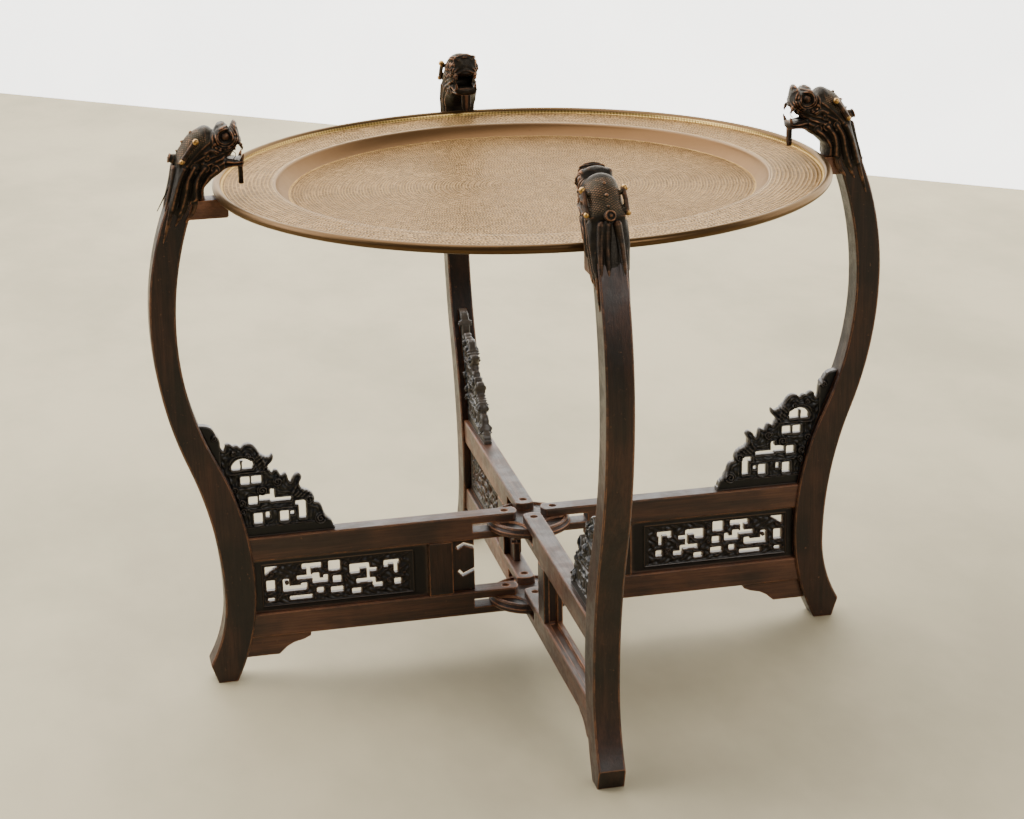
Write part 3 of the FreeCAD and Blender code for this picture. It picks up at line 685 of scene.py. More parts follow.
def make_head_mesh():
    """The casting, in the right wing's place: joined shapes, remeshed and then chased."""
    step = 0.8
    xs = np.arange(336.0, 444.0, step)
    zs = np.arange(606.0, 723.0, step)
    x, z = np.meshgrid(xs, zs, indexing="ij")
    half, field = head_halfwidth(x, z)
    mouth = line_distance(x, z, [(346, 682.4), (362, 681.1)]) - 7.1
    body = relief_plate("head_body", xs, zs, np.maximum(field, -mouth), half)
    shapes = [as_shape(body)]
    cheek = np.maximum((half - MOUTH_HALF) / 2, 0.5)
    points, faces = as_shape(relief_plate("cheek", xs, zs, np.maximum(field, mouth - 1.2),
                                          cheek))
    outside, _ = head_halfwidth(points[:, 0], points[:, 2])
    for side in (1, -1):
        shift = side * np.maximum((outside + MOUTH_HALF) / 2, MOUTH_HALF)
        shapes.append((points + shift[:, None] * [0, 1, 0], faces))
    for side in (1, -1):
        shapes.append(ball((EYE[0], side * 16.0, EYE[1]), EYE[2], (1, 0.8, 1)))
        shapes.append(tube([(397, side * 21.6, 700), (405, side * 22.4, 690),
                            (413, side * 21.6, 678.5)], [3.4, 3.0, 3.6], 0.9))
        for foot in ((399, 697), (411, 681)):
            shapes.append(tube([(foot[0], side * 14, foot[1]),
                                (foot[0], side * 21, foot[1])], [2.6, 2.4]))
        for fang, radii in (([(342.5, 12.8, 674), (341.6, 13.2, 677), (340.2, 13.4, 681)],
                             (2.2, 1.7, 0.7)),
                            ([(343.5, 12.8, 693), (342, 13.2, 689.5), (341, 13.4, 686)],
                             (2.4, 1.8, 0.7)),
                            ([(350.5, 13.8, 690), (350, 13.8, 686)], (1.6, 0.7))):
            line = [(px, side * py, pz) for px, py, pz in fang]
            shapes.append(tube(line, radii))
        # strands that run down the sides of the leg
        for points, radii in (
            ([(402, 640), (401, 628), (404, 616), (411, 607), (414, 603)],
             (3.4, 3.4, 3.0, 2.2, 0.8)),
            ([(412, 640), (415, 624), (421, 609), (426, 600)], (3.4, 3.2, 2.4, 0.8)),
            ([(425, 640), (429, 624), (434, 606), (439, 590), (442, 580)],
             (3.0, 3.0, 2.6, 1.8, 0.7)),
        ):
            lean = [(px, side * (LEG_HALF + 0.6), pz) for px, pz in points]
            line = smooth_line(lean, 5)
            shapes.append(tube(line, np.interp(np.linspace(0, 1, len(line)),
                                               np.linspace(0, 1, len(radii)), radii), 0.75))
    # strands down the back of the leg, then the studs and the rosette at the nape
    for y, foot in ((-12.5, 588), (-4.5, 604), (12.5, 582)):
        back = smooth_line([(422, y * 0.7, 668), (427, y * 0.9, 648), (432.5, y, 631),
                            (437.2, y * 1.05, 613), (440.5 + (602 - foot) * 0.24, y, foot)], 5)
        shapes.append(tube(back, np.linspace(4.2, 1.0, len(back)), 1.1))
    for px, pz, radius in ((400.5, 708.2, 1.9), (411, 697.5, 2.1), (418, 687, 1.7)):
        shapes.append(ball((px, 0, pz), radius))
    rosette = [tube([(415, 0, 675.4), (422.6, 0, 677.8)], [4.6, 6.2], sides=24),
               tube([(420, 0, 677), (427.8, 0, 679.5)], [2.2, 2.0])]
    turn = np.linspace(0, 2 * np.pi, 25)
    tilt = 0.31
    ring = np.stack([427.6 - 5.0 * np.sin(turn) * math.sin(tilt), 5.0 * np.cos(turn),
                     679.2 + 5.0 * np.sin(turn) * math.cos(tilt)], 1)
    rosette.append(tube(ring, 1.1))
    shapes.extend(rosette)
    shapes.append(tube([(348.2, -7.5, 712.6), (348.4, 0, 716.6), (348.2, 7.5, 712.6)], 3.2))
    shapes.append(tube([(363, -10, 712), (363, 0, 715.5), (363, 10, 712)], 4.0))
    points, faces = gather(shapes)
    rough = mesh_from("head_shapes", points, faces)
    grain = {"mode": "VOXEL", "voxel_size": 0.00068, "use_smooth_shade": True}
    mesh = finished_mesh(rough, ("REMESH", grain), ("SMOOTH", {"factor": 0.5, "iterations": 2}))
    at = point_values(mesh, "co")
    height, mask = scale_pattern(at / MM)
    high = np.clip((np.abs(at[:, 1]) / MM - 19.0) / 1.5, 0, 1)
    mask = mask * (1 - high)
    flat = at[:, [0, 2]] / MM
    from_eye = np.hypot(flat[:, 0] - EYE[0], flat[:, 1] - EYE[1])
    face = np.clip((376 - flat[:, 0]) / 4, 0, 1) * np.clip((flat[:, 1] - 682) / 4, 0, 1)
    face = face * np.clip((from_eye - 6) / 2, 0, 1)
    lift = (height - 0.7) * mask * 0.5 + 0.32 * face * np.sin(from_eye * 2.3)
    at += point_values(mesh, "normal") * (lift * MM)[:, None]
    mesh.vertices.foreach_set("co", at.ravel())
    mesh.update()
    mark_raised(mesh, 10, 1 / (0.32 * MM))
    store_values(mesh, "scaled", mask)
    return mesh


def make_tongue_mesh():
    """The flat strip that hangs from the jaw, with ribs down its front and a blunt point."""
    xs = np.linspace(TONGUE_LOW[0] - 0.7, TONGUE_HIGH[0] + 0.7, 7)
    middle = (xs[0] + xs[-1]) / 2
    rows = []
    for z in np.linspace(TONGUE_LOW[2], TONGUE_HIGH[2] + 1.0, 22):
        up = (z - TONGUE_LOW[2]) / (TONGUE_HIGH[2] - TONGUE_LOW[2])
        half = TONGUE_HIGH[1] * np.interp(up, [0, 0.12, 0.3, 1], [0.45, 0.75, 0.95, 1.0])
        turn = np.linspace(0, 2 * np.pi, 40, endpoint=False)
        y = half * np.sign(np.cos(turn)) * np.abs(np.cos(turn))**0.7
        rib = 1 - 0.22 * np.cos(turn * 6)
        depth = (xs[-1] - xs[0]) / 2 * np.sign(np.sin(turn)) * np.abs(np.sin(turn))**0.6 * rib
        rows.append(np.stack([middle + depth, y, np.full_like(y, z)], 1))
    mesh = mesh_from("tongue", np.concatenate(rows), ring_faces(len(rows), len(rows[0])))
    mark_raised(mesh, 3, 1 / (0.3 * MM))
    return mesh


# ---------------------------------------------------------------- carved boards

SPANDREL_SIDE = [
    (363, 191), (366, 200), (372, 225), (381, 255), (391, 282), (402, 308), (411, 330),
    (416.5, 342), (411, 342.8), (404, 341.5), (399.5, 338.5), (396.5, 334.5), (394, 329),
    (390.5, 323), (389.5, 317.5), (389, 311), (386.5, 307.5), (384.5, 309.5), (383.5, 314.5),
    (380, 316), (376.5, 314.5), (373.5, 312), (371, 313), (367.5, 312), (364.5, 309),
    (360.5, 313), (355, 314), (349.5, 312), (345.5, 307.5), (342.5, 302), (339, 298),
    (334, 294.8), (329.5, 294.5), (326, 298), (324.8, 294.5), (326, 289.5), (329.5, 285.5),
    (332.5, 282), (330.5, 277), (327.5, 273), (325, 276), (321.5, 276.3), (319, 273.5),
    (317, 268.5), (314, 269.5), (311, 271.2), (308.5, 268), (307.5, 262), (305, 258.5),
    (302.5, 262.5), (299.5, 267), (295.5, 269.2), (292, 267.5), (290.8, 264), (293.5, 259.5),
    (294, 253), (289.5, 247.5), (283.5, 245.3), (278, 240.5), (275.8, 234), (276.5, 229),
    (271.5, 228), (267.5, 224), (265.5, 217), (262.5, 209.5), (259, 205.5), (255.5, 202),
    (253.8, 196), (254, 191),
]
SPANDREL_OPENINGS = [
    # (r from, r to, z from, z to, corner)
    (351, 364, 281, 291, 1.0), (366, 377, 280.5, 287, 1.0), (341, 353.5, 261, 271, 0.8),
    (355.5, 367, 260.5, 271, 0.8), (347, 358.5, 233, 243.5, 0.8), (328, 345, 237, 245, 0.8),
    (305, 331, 234.5, 239.5, 0.6), (342, 353, 207, 221, 0.8), (333, 338, 214, 221.5, 0.8),
    (309, 320, 207.5, 221, 0.8), (302, 307, 215, 220, 0.8), (287, 296, 209, 233, 0.8),
    (287, 300, 227, 233, 0.8), (326, 331, 238, 252, 0.6),
]
VOLUTES = [(375.6, 255.3, 6.0), (341, 252, 7.5), (367, 237.5, 6.0), (321.5, 262, 6.5),
           (283, 234.5, 6.5), (269.5, 208, 8.0), (366, 226, 5.5), (357, 299.5, 5.0),
           (374, 303.5, 4.5), (396, 326, 5.0)]
SPANDREL_LINES = [
    # mouldings along the ledges: (points, width, height)
    ([(330, 277.5), (352, 276.5), (380, 276)], 0.9, 1.0),
    ([(303, 246.5), (318, 248), (330, 254)], 0.9, 0.9),
    ([(298, 225.5), (322, 226), (357, 226)], 0.9, 1.0),
    ([(258, 204.5), (300, 204.5), (364, 204.5)], 0.8, 0.9),
    ([(348, 292), (352, 297), (364, 299.5), (376, 296), (380, 289)], 1.0, 1.3),
    ([(344, 300), (338, 292), (336, 283)], 1.6, 1.6),
    ([(292, 262), (299, 252), (304, 245)], 1.6, 1.5),
]


def carve_spirals(x, z, spirals, depth):
    """Round volutes: a domed boss with a spiral line cut into it."""
    carving = np.zeros_like(x)
    for cx, cz, size in spirals:
        away = np.hypot(x - cx, z - cz)
        turn = np.arctan2(z - cz, x - cx) / (2 * np.pi)
        groove = 0.5 + 0.5 * np.cos(2 * np.pi * (away / (size * 0.46) - turn))
        inside = np.clip((size - away) / 1.2, 0, 1)
        dome = 0.9 + 0.5 * np.sqrt(np.clip(1 - (away / size)**2, 0, 1))
        boss = inside * depth * dome * (0.5 + 0.5 * groove)
        carving = np.where(inside > 0, np.maximum(carving, boss), carving)
    return carving


def make_spandrel_mesh():
    step = 0.75
    xs = np.arange(252.0, 420.0, step)
    zs = np.arange(SPANDREL_LOW[2], SPANDREL_HIGH[2] + 2.0, step)
    x, z = np.meshgrid(xs, zs, indexing="ij")
    field = outline_distance(x, z, smooth_line(SPANDREL_SIDE + SPANDREL_SIDE[:1], 2)[:-1])
    solid = field.copy()
    for x0, x1, z0, z1, corner in SPANDREL_OPENINGS:
        solid = np.maximum(solid, -window_distance(x, z, x0, x1, z0, z1, corner))
    arch = np.hypot((x - 363.5) / 14.5, (z - 281) / 14.0)
    solid = np.maximum(solid, -np.maximum(np.maximum((arch - 1) * 13, 284.5 - z),
                                          -window_distance(x, z, 362, 366.5, 280, 292, 1)))
    solid = blur(solid, 1)
    depth = SPANDREL_HIGH[1]
    inside = -solid
    half = depth - 1.3 * np.exp(-(np.maximum(inside, 0) / 1.1)**2)
    ribs = np.sin(inside * 1.35) * np.exp(-inside / 6.0) * 1.3
    ribs += 1.0 * (np.sin(x * 0.34 + 1.3 * np.sin(z * 0.24)) * np.sin(z * 0.42 + np.sin(x * 0.2))
                   * np.clip(inside / 3, 0, 1))
    plinth = (z < 203) | (x > 390)
    half = half + np.where(plinth, 0, ribs - 1.4)
    half += carve_spirals(x, z, VOLUTES, 3.0)
    for points, wide, high in SPANDREL_LINES:
        half += 1.7 * high * hump(x, z, points, wide)
    leaf = np.exp(-(line_distance(x, z, [(336, 301), (344, 292), (338, 284)]) / 7.0)**2)
    leaf += np.exp(-(line_distance(x, z, [(292, 255), (284, 243), (300, 243)]) / 6.0)**2)
    half += leaf * (1.2 + 1.0 * np.sin((x + z) * 1.0))
    half = np.where(z < 191.8, depth - 0.4, half)
    mesh = relief_plate("spandrel", xs, zs, solid, half)
    mark_raised(mesh, 5, 1 / (0.5 * MM))
    return crisp(mesh, 55)


FIELD_OUTER, FIELD_FLOOR = 344.5, 98.0
FRET_OPENINGS = [
    # distances from the leg end of the field, and heights above its floor
    (2, 13, 16, 30), (3, 12, 2, 6), (23, 31, 13, 30), (23, 53, 13, 20), (46, 54, 14, 22.5),
    (31, 60, 1, 6), (48, 73, 41.5, 48.5), (54, 59, 31, 43), (41, 62, 28, 33),
    (61, 70, 21, 34.5), (61, 81, 21, 27), (75, 81, 24, 31), (82, 97, 35, 49),
    (87, 98, 19, 28), (66, 75, 7, 14), (84, 100, 5.5, 13), (109, 133, 34, 41.5),
    (109, 122, 28.5, 38), (131, 134.5, 18, 41), (133, 144, 29, 34), (117, 141, 14.6, 20.5),
    (139, 151, 7.3, 13), (138, 142, 9, 20), (111, 123, 1.3, 8), (153, 173, 36, 42),
    (166, 171, 24, 42), (153, 159, 33, 42), (166, 175, 8, 16),
]
FRET_CURLS = [(9.5, 39, 3.6), (28, 24.5, 3.2), (38, 9.5, 3.0), (146, 22, 3.4), (160, 16, 5.0),
              (163, 30, 3.6), (104, 22, 3.0), (79, 39, 3.2), (18, 9.5, 3.4), (179.5, 24, 3.0),
              (66, 40, 2.8), (104, 43, 3.2)]


def make_fret_mesh():
    rough, fine = 4.0, 0.62
    inner = FIELD_OUTER - 184.0
    xs = np.concatenate([np.arange(PANEL_LOW[0], inner - 8, rough),
                         np.arange(inner - 8, FIELD_OUTER + 6, fine),
                         np.arange(FIELD_OUTER + 6, PANEL_HIGH[0], rough), [PANEL_HIGH[0]]])
    zs = np.concatenate([[PANEL_LOW[2]], np.arange(87.2, 94, rough / 2),
                         np.arange(94, 151, fine), np.arange(151, 159, rough / 2),
                         [PANEL_HIGH[2]]])
    x, z = np.meshgrid(xs, zs, indexing="ij")
    u, v = FIELD_OUTER - x, z - FIELD_FLOOR
    frame_edge = np.maximum(np.maximum(PANEL_LOW[0] - x, x - PANEL_HIGH[0]),
                            np.maximum(PANEL_LOW[2] - z, z - PANEL_HIGH[2])) - 0.01
    solid = frame_edge.copy()
    for u0, u1, v0, v1 in FRET_OPENINGS:
        solid = np.maximum(solid, -window_distance(u, v, u0, u1, v0, v1, 1.3))
    solid = np.maximum(solid, -outline_distance(u, v, [(1, 37), (18, 49), (1, 49)]))
    for u0, v0, size in FRET_CURLS[:6]:
        solid = np.minimum(solid, np.maximum(np.hypot(u - u0, v - v0) - size * 0.8,
                                             frame_edge))
    inside = -solid
    depth = PANEL_HIGH[1]
    field = window_distance(u, v, -1.5, 186, -2, 51, 0.5)
    sunk = np.clip(-field / 1.0, 0, 1)
    round_off = np.exp(-(np.maximum(inside, 0) / 1.0)**2)
    carved = -0.5 - 1.5 * round_off - 1.0 * np.exp(-((inside - 2.2) / 0.6)**2)
    half = depth + sunk * carved
    beading = np.exp(-((window_distance(u, v, -3.2, 191, -4, 53, 0.6)) / 0.7)**2)
    half += 0.75 * beading
    half += sunk * carve_spirals(u, v, FRET_CURLS, 1.5)
    twist = np.sin(u * 0.42 + 1.3 * np.sin(v * 0.31)) * np.sin(v * 0.55 + np.sin(u * 0.23))
    half += sunk * 1.1 * twist * np.clip(inside / 3, 0, 1)
    edge = (z < 88) | (z > 158) | (x < 134) | (x > 360)
    half = np.where(edge, depth - 0.05, half)
    mesh = relief_plate("fret_panel", xs, zs, solid, half)
    mark_raised(mesh, 5, 1 / (0.45 * MM))
    return crisp(mesh, 55)


# ---------------------------------------------------------------- tray

BEAD, SHEET = 5.2, 1.6             # radius of the rolled edge, thickness of the sheet
RIM_DROP = 1.2                     # top of the flat rim, below the middle of the rolled edge
WELL, RIM = 286.0, 302.0           # radii where the well ends and the flat rim begins
WALL_ARC = 0.97                    # how much of a quarter turn the wall's curve takes up
INNERMOST = 0.01                   # radius of the smallest ring, at the middle


def make_tray_mesh(segments):
    """The spun sheet, with the slight waviness of hand work."""
    low = TRAY_LOW[2]
    middle, centre = TRAY_HIGH[2] - BEAD, TRAY_HIGH[0] - BEAD
    rim_top, floor = middle - RIM_DROP, low + SHEET
    rim_under = rim_top - SHEET
    top = [(r, floor) for r in np.concatenate([[INNERMOST], np.arange(6, WELL - 2, 6.0)])]
    for share in np.linspace(0, 1, 12)[:-1]:
        round_off = (1 - math.sqrt(1 - (share * WALL_ARC)**2)) / (1 - math.sqrt(1 - WALL_ARC**2))
        blend = 0.55 * share + 0.45 * round_off
        top.append((WELL + (RIM - WELL) * share, floor + (rim_top - floor) * blend))
    top += [(RIM, rim_top - 0.15), (RIM + 1.2, rim_top)]
    top += [(r, rim_top) for r in np.arange(RIM + 4, RIM + 64, 6.0)]
    top += [(366.6, rim_top + 0.1), (367.6, rim_top + 0.5)]
    turn = np.linspace(math.pi + 0.2, -math.pi + 0.6, 28)
    loop = [(centre + BEAD * math.cos(t), middle + BEAD * math.sin(t)) for t in turn]
    under = [(366.5, rim_under), (340, rim_under), (RIM + 1.5, rim_under),
             (RIM - 2, rim_under - 2.4), (294, floor + 3.2), (WELL + 2, low + 0.3),
             (WELL - 2, low), (200, low), (100, low), (INNERMOST, low)]
    profile = np.array(top + loop + under)
    turns = np.linspace(0, 2 * np.pi, segments, endpoint=False)
    rings = []
    for r, z in profile:
        wave = (0.30 * np.sin(turns * 3 + r * 0.011) + 0.16 * np.sin(turns * 7 + r * 0.05)
                + 0.10 * np.sin(turns * 13 - r * 0.09)) * min(r / 300, 1.0)
        swell = 1 + 0.00035 * np.sin(turns * 5 + 1.0) - 0.0004
        rings.append(np.stack([r * swell * np.cos(turns), r * swell * np.sin(turns),
                               z + wave * 0.6], 1))
    return mesh_from("tray", np.concatenate(rings), ring_faces(len(rings), segments))


# ---------------------------------------------------------------- properties

def colour(name, description, value):
    return bpy.props.FloatVectorProperty(name=name, description=description, subtype="COLOR",
                                         size=3, min=0.0, max=1.0, default=value)


class TRAYTABLE_PG_tray(bpy.types.PropertyGroup):
    """Look of the tray"""

    brass: colour("Brass", "Main colour of the hammered brass", (0.238, 0.138, 0.052))
    brass_warm: colour("Warm brass", "Browner clouds in the brass", (0.182, 0.099, 0.036))
    # a painted highlight on the crests between the hammer marks
    brass_crest_highlight: colour("Light brass", "Edges between the hammer marks", (0.52, 0.315, 0.118))
    # the spots, and painted shade in the hollows of the hammer marks
    brass_spots_and_dent_shade: colour("Dark brass", "Hollows of the hammer marks and spots",
                       (0.060, 0.029, 0.009))
    # a painted highlight along the lip round the well
    brass_lip_highlight: colour("Brass lip", "Lip round the well, painted lighter as a highlight", (0.62, 0.50, 0.35))
    brass_smooth: colour("Smooth brass", "The wall round the well", (0.118, 0.057, 0.021))
    brass_edge: colour("Brass edge", "The rolled edge", (0.085, 0.045, 0.018))
    mark_pitch: bpy.props.FloatProperty(
        name="Row pitch", description="Distance between rows of hammer marks",
        default=0.0048, min=0.001, max=0.02, precision=4, unit="LENGTH")
    well_length: bpy.props.FloatProperty(
        name="Well mark length", description="Length of one mark in the well",
        default=0.0037, min=0.001, max=0.02, precision=4, unit="LENGTH")
    well_pitch: bpy.props.FloatProperty(
        name="Well row pitch", description="Distance between rows in the well",
        default=0.0037, min=0.001, max=0.02, precision=4, unit="LENGTH")
    mark_length: bpy.props.FloatProperty(
        name="Mark length", description="Length of one hammer mark along its row",
        default=0.0046, min=0.001, max=0.02, precision=4, unit="LENGTH")
    segments: bpy.props.IntProperty(
        name="Segments", description="Faces round the tray", default=540, min=64, max=2048)


class TRAYTABLE_PG_wood(bpy.types.PropertyGroup):
    """Look of the wooden stand"""

    dark: colour("Dark wood", "Main colour of the stained wood", (0.0135, 0.0080, 0.0052))
    red: colour("Red wood", "Redder patches of the wood", (0.052, 0.0205, 0.0105))
    worn: colour("Worn edge", "Rubbed edges", (0.42, 0.17, 0.07))
    rail: colour("Rail wood", "Main colour of the rails", (0.043, 0.0235, 0.0145))
    rail_red: colour("Red rail wood", "Redder patches of the rails", (0.140, 0.058, 0.0300))
    plate_worn: colour("Worn plate", "Rubbed lips of the hub plates", (0.55, 0.24, 0.11))
    carving: colour("Carving", "Blackened carved boards", (0.0034, 0.0028, 0.0024))
    # ridge colour of the carving: rubbed wear and a painted highlight
    carving_wear_and_highlight: colour("Carving ridges", "Rubbed ridges of the carving, with a painted highlight", (0.105, 0.088, 0.072))
    fret: colour("Fret panels", "Main colour of the fret panels", (0.0075, 0.0048, 0.0036))
    # ridge colour of the fret panels: rubbed wear and a painted highlight
    fret_wear_and_highlight: colour("Fret ridges", "Rubbed ridges of the fret panels, with a painted highlight", (0.13, 0.078, 0.050))
    block: colour("Support blocks", "Red-brown wood of the blocks", (0.215, 0.088, 0.043))


class TRAYTABLE_PG_stage(bpy.types.PropertyGroup):
    """Floor, backdrop, light and camera"""

    floor: colour("Floor", "Plain floor", (0.490, 0.420, 0.268))
    wall: colour("Wall", "Plain backdrop", (0.86, 0.86, 0.84))
    wall_glow: bpy.props.FloatProperty(
        name="Wall glow", description="Light that the backdrop gives off", default=2.9, min=0.0)
    lens: bpy.props.FloatProperty(
        name="Lens", description="Focal length on a 36 mm wide sensor",
        default=80.1, min=20.0, max=300.0, unit="CAMERA")
    key_power: bpy.props.FloatProperty(
        name="Ceiling light", description="Power of the large soft light", default=260.0,
        min=0.0, subtype="POWER", unit="POWER")


# ---------------------------------------------------------------- stage

FLOOR_CORNERS = [(-9000, -6000), (9000, -6000), (9000, 9000), (-9000, 9000)]
WALL_ENDS, WALL_HEIGHT = [(-2916, 6181), (5459, -1106)], 3200
ROOM_LIGHT, ROOM_TONE = 0.16, (0.95, 0.97, 1.0, 1.0)
LAMPS = (
    # (name, place in metres, width in metres, share of the ceiling light's power, colour)
    ("ceiling", (-1.1, 1.5, 3.3), 4.2, 1.0, (1.0, 0.985, 0.96)),
    ("window", (-3.4, 0.6, 1.9), 2.4, 0.42, (0.97, 0.985, 1.0)),
    ("front", (1.6, -3.8, 2.8), 2.0, 0.36, (1.0, 0.97, 0.92)),
)
LAMP_AIM = (0, 0, 0.4)
CAMERA_PLACE = (-0.5911, -2.6762, 1.2561)
CAMERA_TURN, CAMERA_TILT, CAMERA_ROLL = 0.2107, 0.3274, -0.0212


def make_room(look):
    def flat(name, corners, material):
        return piece(name, mesh_from(name, corners, [(0, 1, 2, 3)], False), material)

    plain = plain_floor("Plain wall", look.wall)
    glow = plain.node_tree.nodes["Principled BSDF"].inputs
    glow["Emission Color"].default_value = (1.0, 1.0, 0.98, 1.0)
    glow["Emission Strength"].default_value = look.wall_glow
    floor = flat("floor", [(*at, 0) for at in FLOOR_CORNERS],
                 plain_floor("Plain floor", look.floor))
    left, right = WALL_ENDS
    wall = flat("wall", [(*left, 0), (*right, 0), (*right, WALL_HEIGHT),
                         (*left, WALL_HEIGHT)], plain)


def make_lights(scene, look):
    scene.world = bpy.data.worlds.new("Soft room")
    scene.world.use_nodes = True
    sky = scene.world.node_tree.nodes["Background"].inputs
    sky["Color"].default_value = ROOM_TONE
    sky["Strength"].default_value = ROOM_LIGHT
    for name, place, size, share, tone in LAMPS:
        lamp = bpy.data.lights.new(name, "AREA")
        lamp.size = size
        lamp.energy = look.key_power * share
        lamp.color = tone
        holder = bpy.data.objects.new(name, lamp)
        scene.collection.objects.link(holder)
        holder.location = place
        aim = Vector(LAMP_AIM) - holder.location
        holder.rotation_euler = aim.to_track_quat("-Z", "Y").to_euler()


def make_camera(scene, look):
    """A camera turned about the vertical, tilted down and rolled by small angles."""
    lens = bpy.data.cameras.new("camera")
    lens.lens = look.lens
    lens.sensor_width = 36.0
    lens.clip_end = 100.0
    camera = bpy.data.objects.new("camera", lens)
    scene.collection.objects.link(camera)
    level = math.cos(CAMERA_TILT)
    ahead = Vector((math.sin(CAMERA_TURN) * level, math.cos(CAMERA_TURN) * level,
                    -math.sin(CAMERA_TILT)))
    side = ahead.cross(Vector((0, 0, 1))).normalized()
    up = side.cross(ahead)
    right = math.cos(CAMERA_ROLL) * side + math.sin(CAMERA_ROLL) * up
    top = math.cos(CAMERA_ROLL) * up - math.sin(CAMERA_ROLL) * side
    basis = Matrix((right, top, -ahead)).transposed()
    camera.matrix_world = Matrix.Translation(CAMERA_PLACE) @ basis.to_4x4()
    scene.camera = camera


# ---------------------------------------------------------------- operators

def for_each_wing(kind, mesh, material, body="wing_", wings=tuple(WINGS)):
    """One copy of the mesh on each wing, in place of that wing's CAD node."""
    for wing in wings:
        made = piece(f"{kind}_{wing}_shape", mesh, material, WINGS[wing])
        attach(made, body + wing)
        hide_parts(f"{kind}_{wing}")


def dress(node, material):
    """Gives a CAD node another material."""
    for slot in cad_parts[node].material_slots:
        slot.material = material


class TRAYTABLE_OT_tray(bpy.types.Operator):
    """Make the hammered brass tray"""

    bl_idname = "traytable.tray"
    bl_label = "Tray"

    def execute(self, context):
        look = context.scene.traytable_tray
        brass = hammered_brass("Hammered brass", look)
        made = piece("tray_shape", make_tray_mesh(look.segments), brass)
        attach(made, "tray")
        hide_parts("tray")
        return {"FINISHED"}


class TRAYTABLE_OT_heads(bpy.types.Operator):
    """Make the cast dragon heads, their tongues, gilt balls and whiskers"""

    bl_idname = "traytable.heads"
    bl_label = "Dragon heads"

    def execute(self, context):
        metal = bronze("Patinated bronze")
        gold = gilt("Gilt")
        for_each_wing("dragon_head", make_head_mesh(), metal)
        for_each_wing("dragon_tongue", make_tongue_mesh(), metal)
        balls = []
        for side in (1, -1):
            balls.append(ball((396.6, side * 23.0, 700.6), 3.9))
            balls.append(ball((413.6, side * 22.6, 677.8), 3.4))
        knobs = mesh_from("antler_balls", *gather(balls))
        whiskers = []
        tail = smooth_line([(424, 7, 660), (431, 8, 645), (438, 8.5, 632), (446, 9, 618)], 6)
        whiskers.append(tube(tail, np.linspace(1.3, 0.5, len(tail)), sides=8))
        curl = smooth_line([(355, 14.6, 686), (350.5, 15, 683.5), (350, 14.8, 679),
                            (353, 14.4, 675.5)], 6)
        whiskers.append(tube(curl, 0.45, sides=8))
        wires = mesh_from("whiskers", *gather(whiskers))
        for wing, turn in WINGS.items():
            for name, mesh, material in (("antler_balls", knobs, gold),
                                         ("whiskers", wires, metal)):
                made = piece(f"{name}_{wing}", mesh, material, turn)
                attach(made, "wing_" + wing)
        return {"FINISHED"}


class TRAYTABLE_OT_carving(bpy.types.Operator):
    """Make the carved spandrels and fret panels"""

    bl_idname = "traytable.carving"
    bl_label = "Carved boards"

    def execute(self, context):
        look = context.scene.traytable_wood
        black = carved_wood("Black carving", look.carving, look.carving_wear_and_highlight)
        brown = carved_wood("Brown carving", look.fret, look.fret_wear_and_highlight)
        for_each_wing("spandrel", make_spandrel_mesh(), black)
        for_each_wing("fret_panel", make_fret_mesh(), brown, wings=PANELLED)
        return {"FINISHED"}


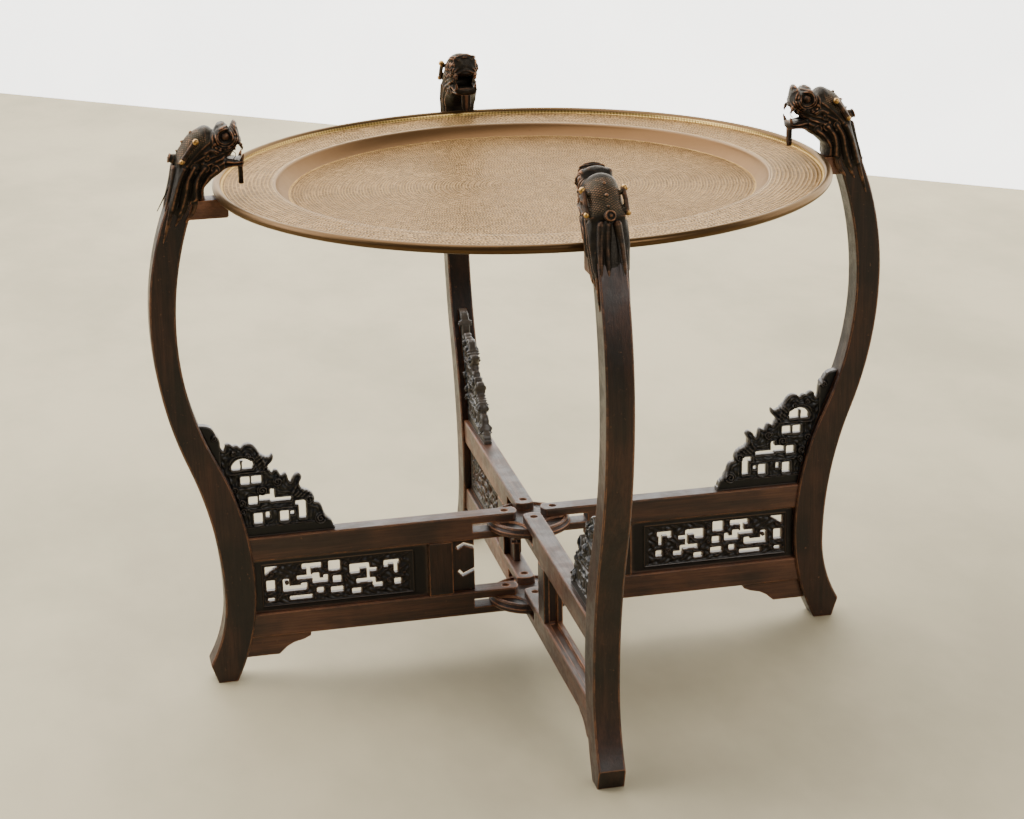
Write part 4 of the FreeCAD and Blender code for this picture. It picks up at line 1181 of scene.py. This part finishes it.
class TRAYTABLE_OT_woodwork(bpy.types.Operator):
    """Finish the legs, rails, stiles, blocks, hub plates and hinge pins"""

    bl_idname = "traytable.woodwork"
    bl_label = "Woodwork"

    def execute(self, context):
        look = context.scene.traytable_wood
        tones = (look.dark, look.red, look.worn)
        upright = wood("Leg wood", (1, 1, 0.05), *tones, 0.30)
        tones = (look.rail, look.rail_red, look.worn)
        along_x = wood("Rail wood X", (0.05, 1, 1), *tones, 0.34)
        along_y = wood("Rail wood Y", (1, 0.05, 1), *tones, 0.34)
        plates = wood("Hub plate wood", (0.3, 1, 1), look.dark, look.rail_red, look.plate_worn,
                      0.36)
        blocks = wood("Block wood", (0.4, 0.4, 1), [0.5 * c for c in look.block], look.block,
                      look.worn, 0.42)
        pins = tarnished_metal("Pin metal")
        for wing in WINGS:
            rail = along_x if wing in ("left", "right") else along_y
            dress("leg_" + wing, upright)
            dress("stile_" + wing, upright)
            dress("tray_block_" + wing, blocks)
            dress("apron_" + wing, rail)
            for level in ("upper", "lower"):
                dress(f"{level}_rail_{wing}", rail)
                dress(f"{level}_pin_{wing}", pins)
            if wing in PANELLED:
                dress("end_board_" + wing, upright)
        for level in ("upper", "lower"):
            dress(level + "_hub_plate", plates)
        return {"FINISHED"}


class TRAYTABLE_OT_stage(bpy.types.Operator):
    """Make the floor, backdrop, lights and camera"""

    bl_idname = "traytable.stage"
    bl_label = "Stage"

    def execute(self, context):
        look = context.scene.traytable_stage
        make_room(look)
        make_lights(context.scene, look)
        make_camera(context.scene, look)
        return {"FINISHED"}


OPERATORS = (TRAYTABLE_OT_stage, TRAYTABLE_OT_woodwork, TRAYTABLE_OT_carving,
             TRAYTABLE_OT_tray, TRAYTABLE_OT_heads)
GROUPS = {"traytable_tray": TRAYTABLE_PG_tray, "traytable_wood": TRAYTABLE_PG_wood,
          "traytable_stage": TRAYTABLE_PG_stage}


class TRAYTABLE_PT_panel(bpy.types.Panel):
    """Tray table pieces"""

    bl_idname = "TRAYTABLE_PT_panel"
    bl_label = "Tray Table"
    bl_space_type = "VIEW_3D"
    bl_region_type = "UI"
    bl_category = "Tray Table"

    def draw(self, context):
        for operator in OPERATORS:
            self.layout.operator(operator.bl_idname)
        for name in GROUPS:
            group = getattr(context.scene, name)
            box = self.layout.box()
            for key in group.__annotations__:
                box.prop(group, key)


def register():
    for group in GROUPS.values():
        bpy.utils.register_class(group)
    for name, group in GROUPS.items():
        setattr(bpy.types.Scene, name, bpy.props.PointerProperty(type=group))
    for made in (*OPERATORS, TRAYTABLE_PT_panel):
        bpy.utils.register_class(made)


def unregister():
    for made in reversed((*OPERATORS, TRAYTABLE_PT_panel)):
        bpy.utils.unregister_class(made)
    for name, group in GROUPS.items():
        delattr(bpy.types.Scene, name)
        bpy.utils.unregister_class(group)


def main():
    register()
    bpy.ops.traytable.stage()
    bpy.ops.traytable.woodwork()
    bpy.ops.traytable.carving()
    bpy.ops.traytable.tray()
    bpy.ops.traytable.heads()


if __name__ == "__main__":
    main()
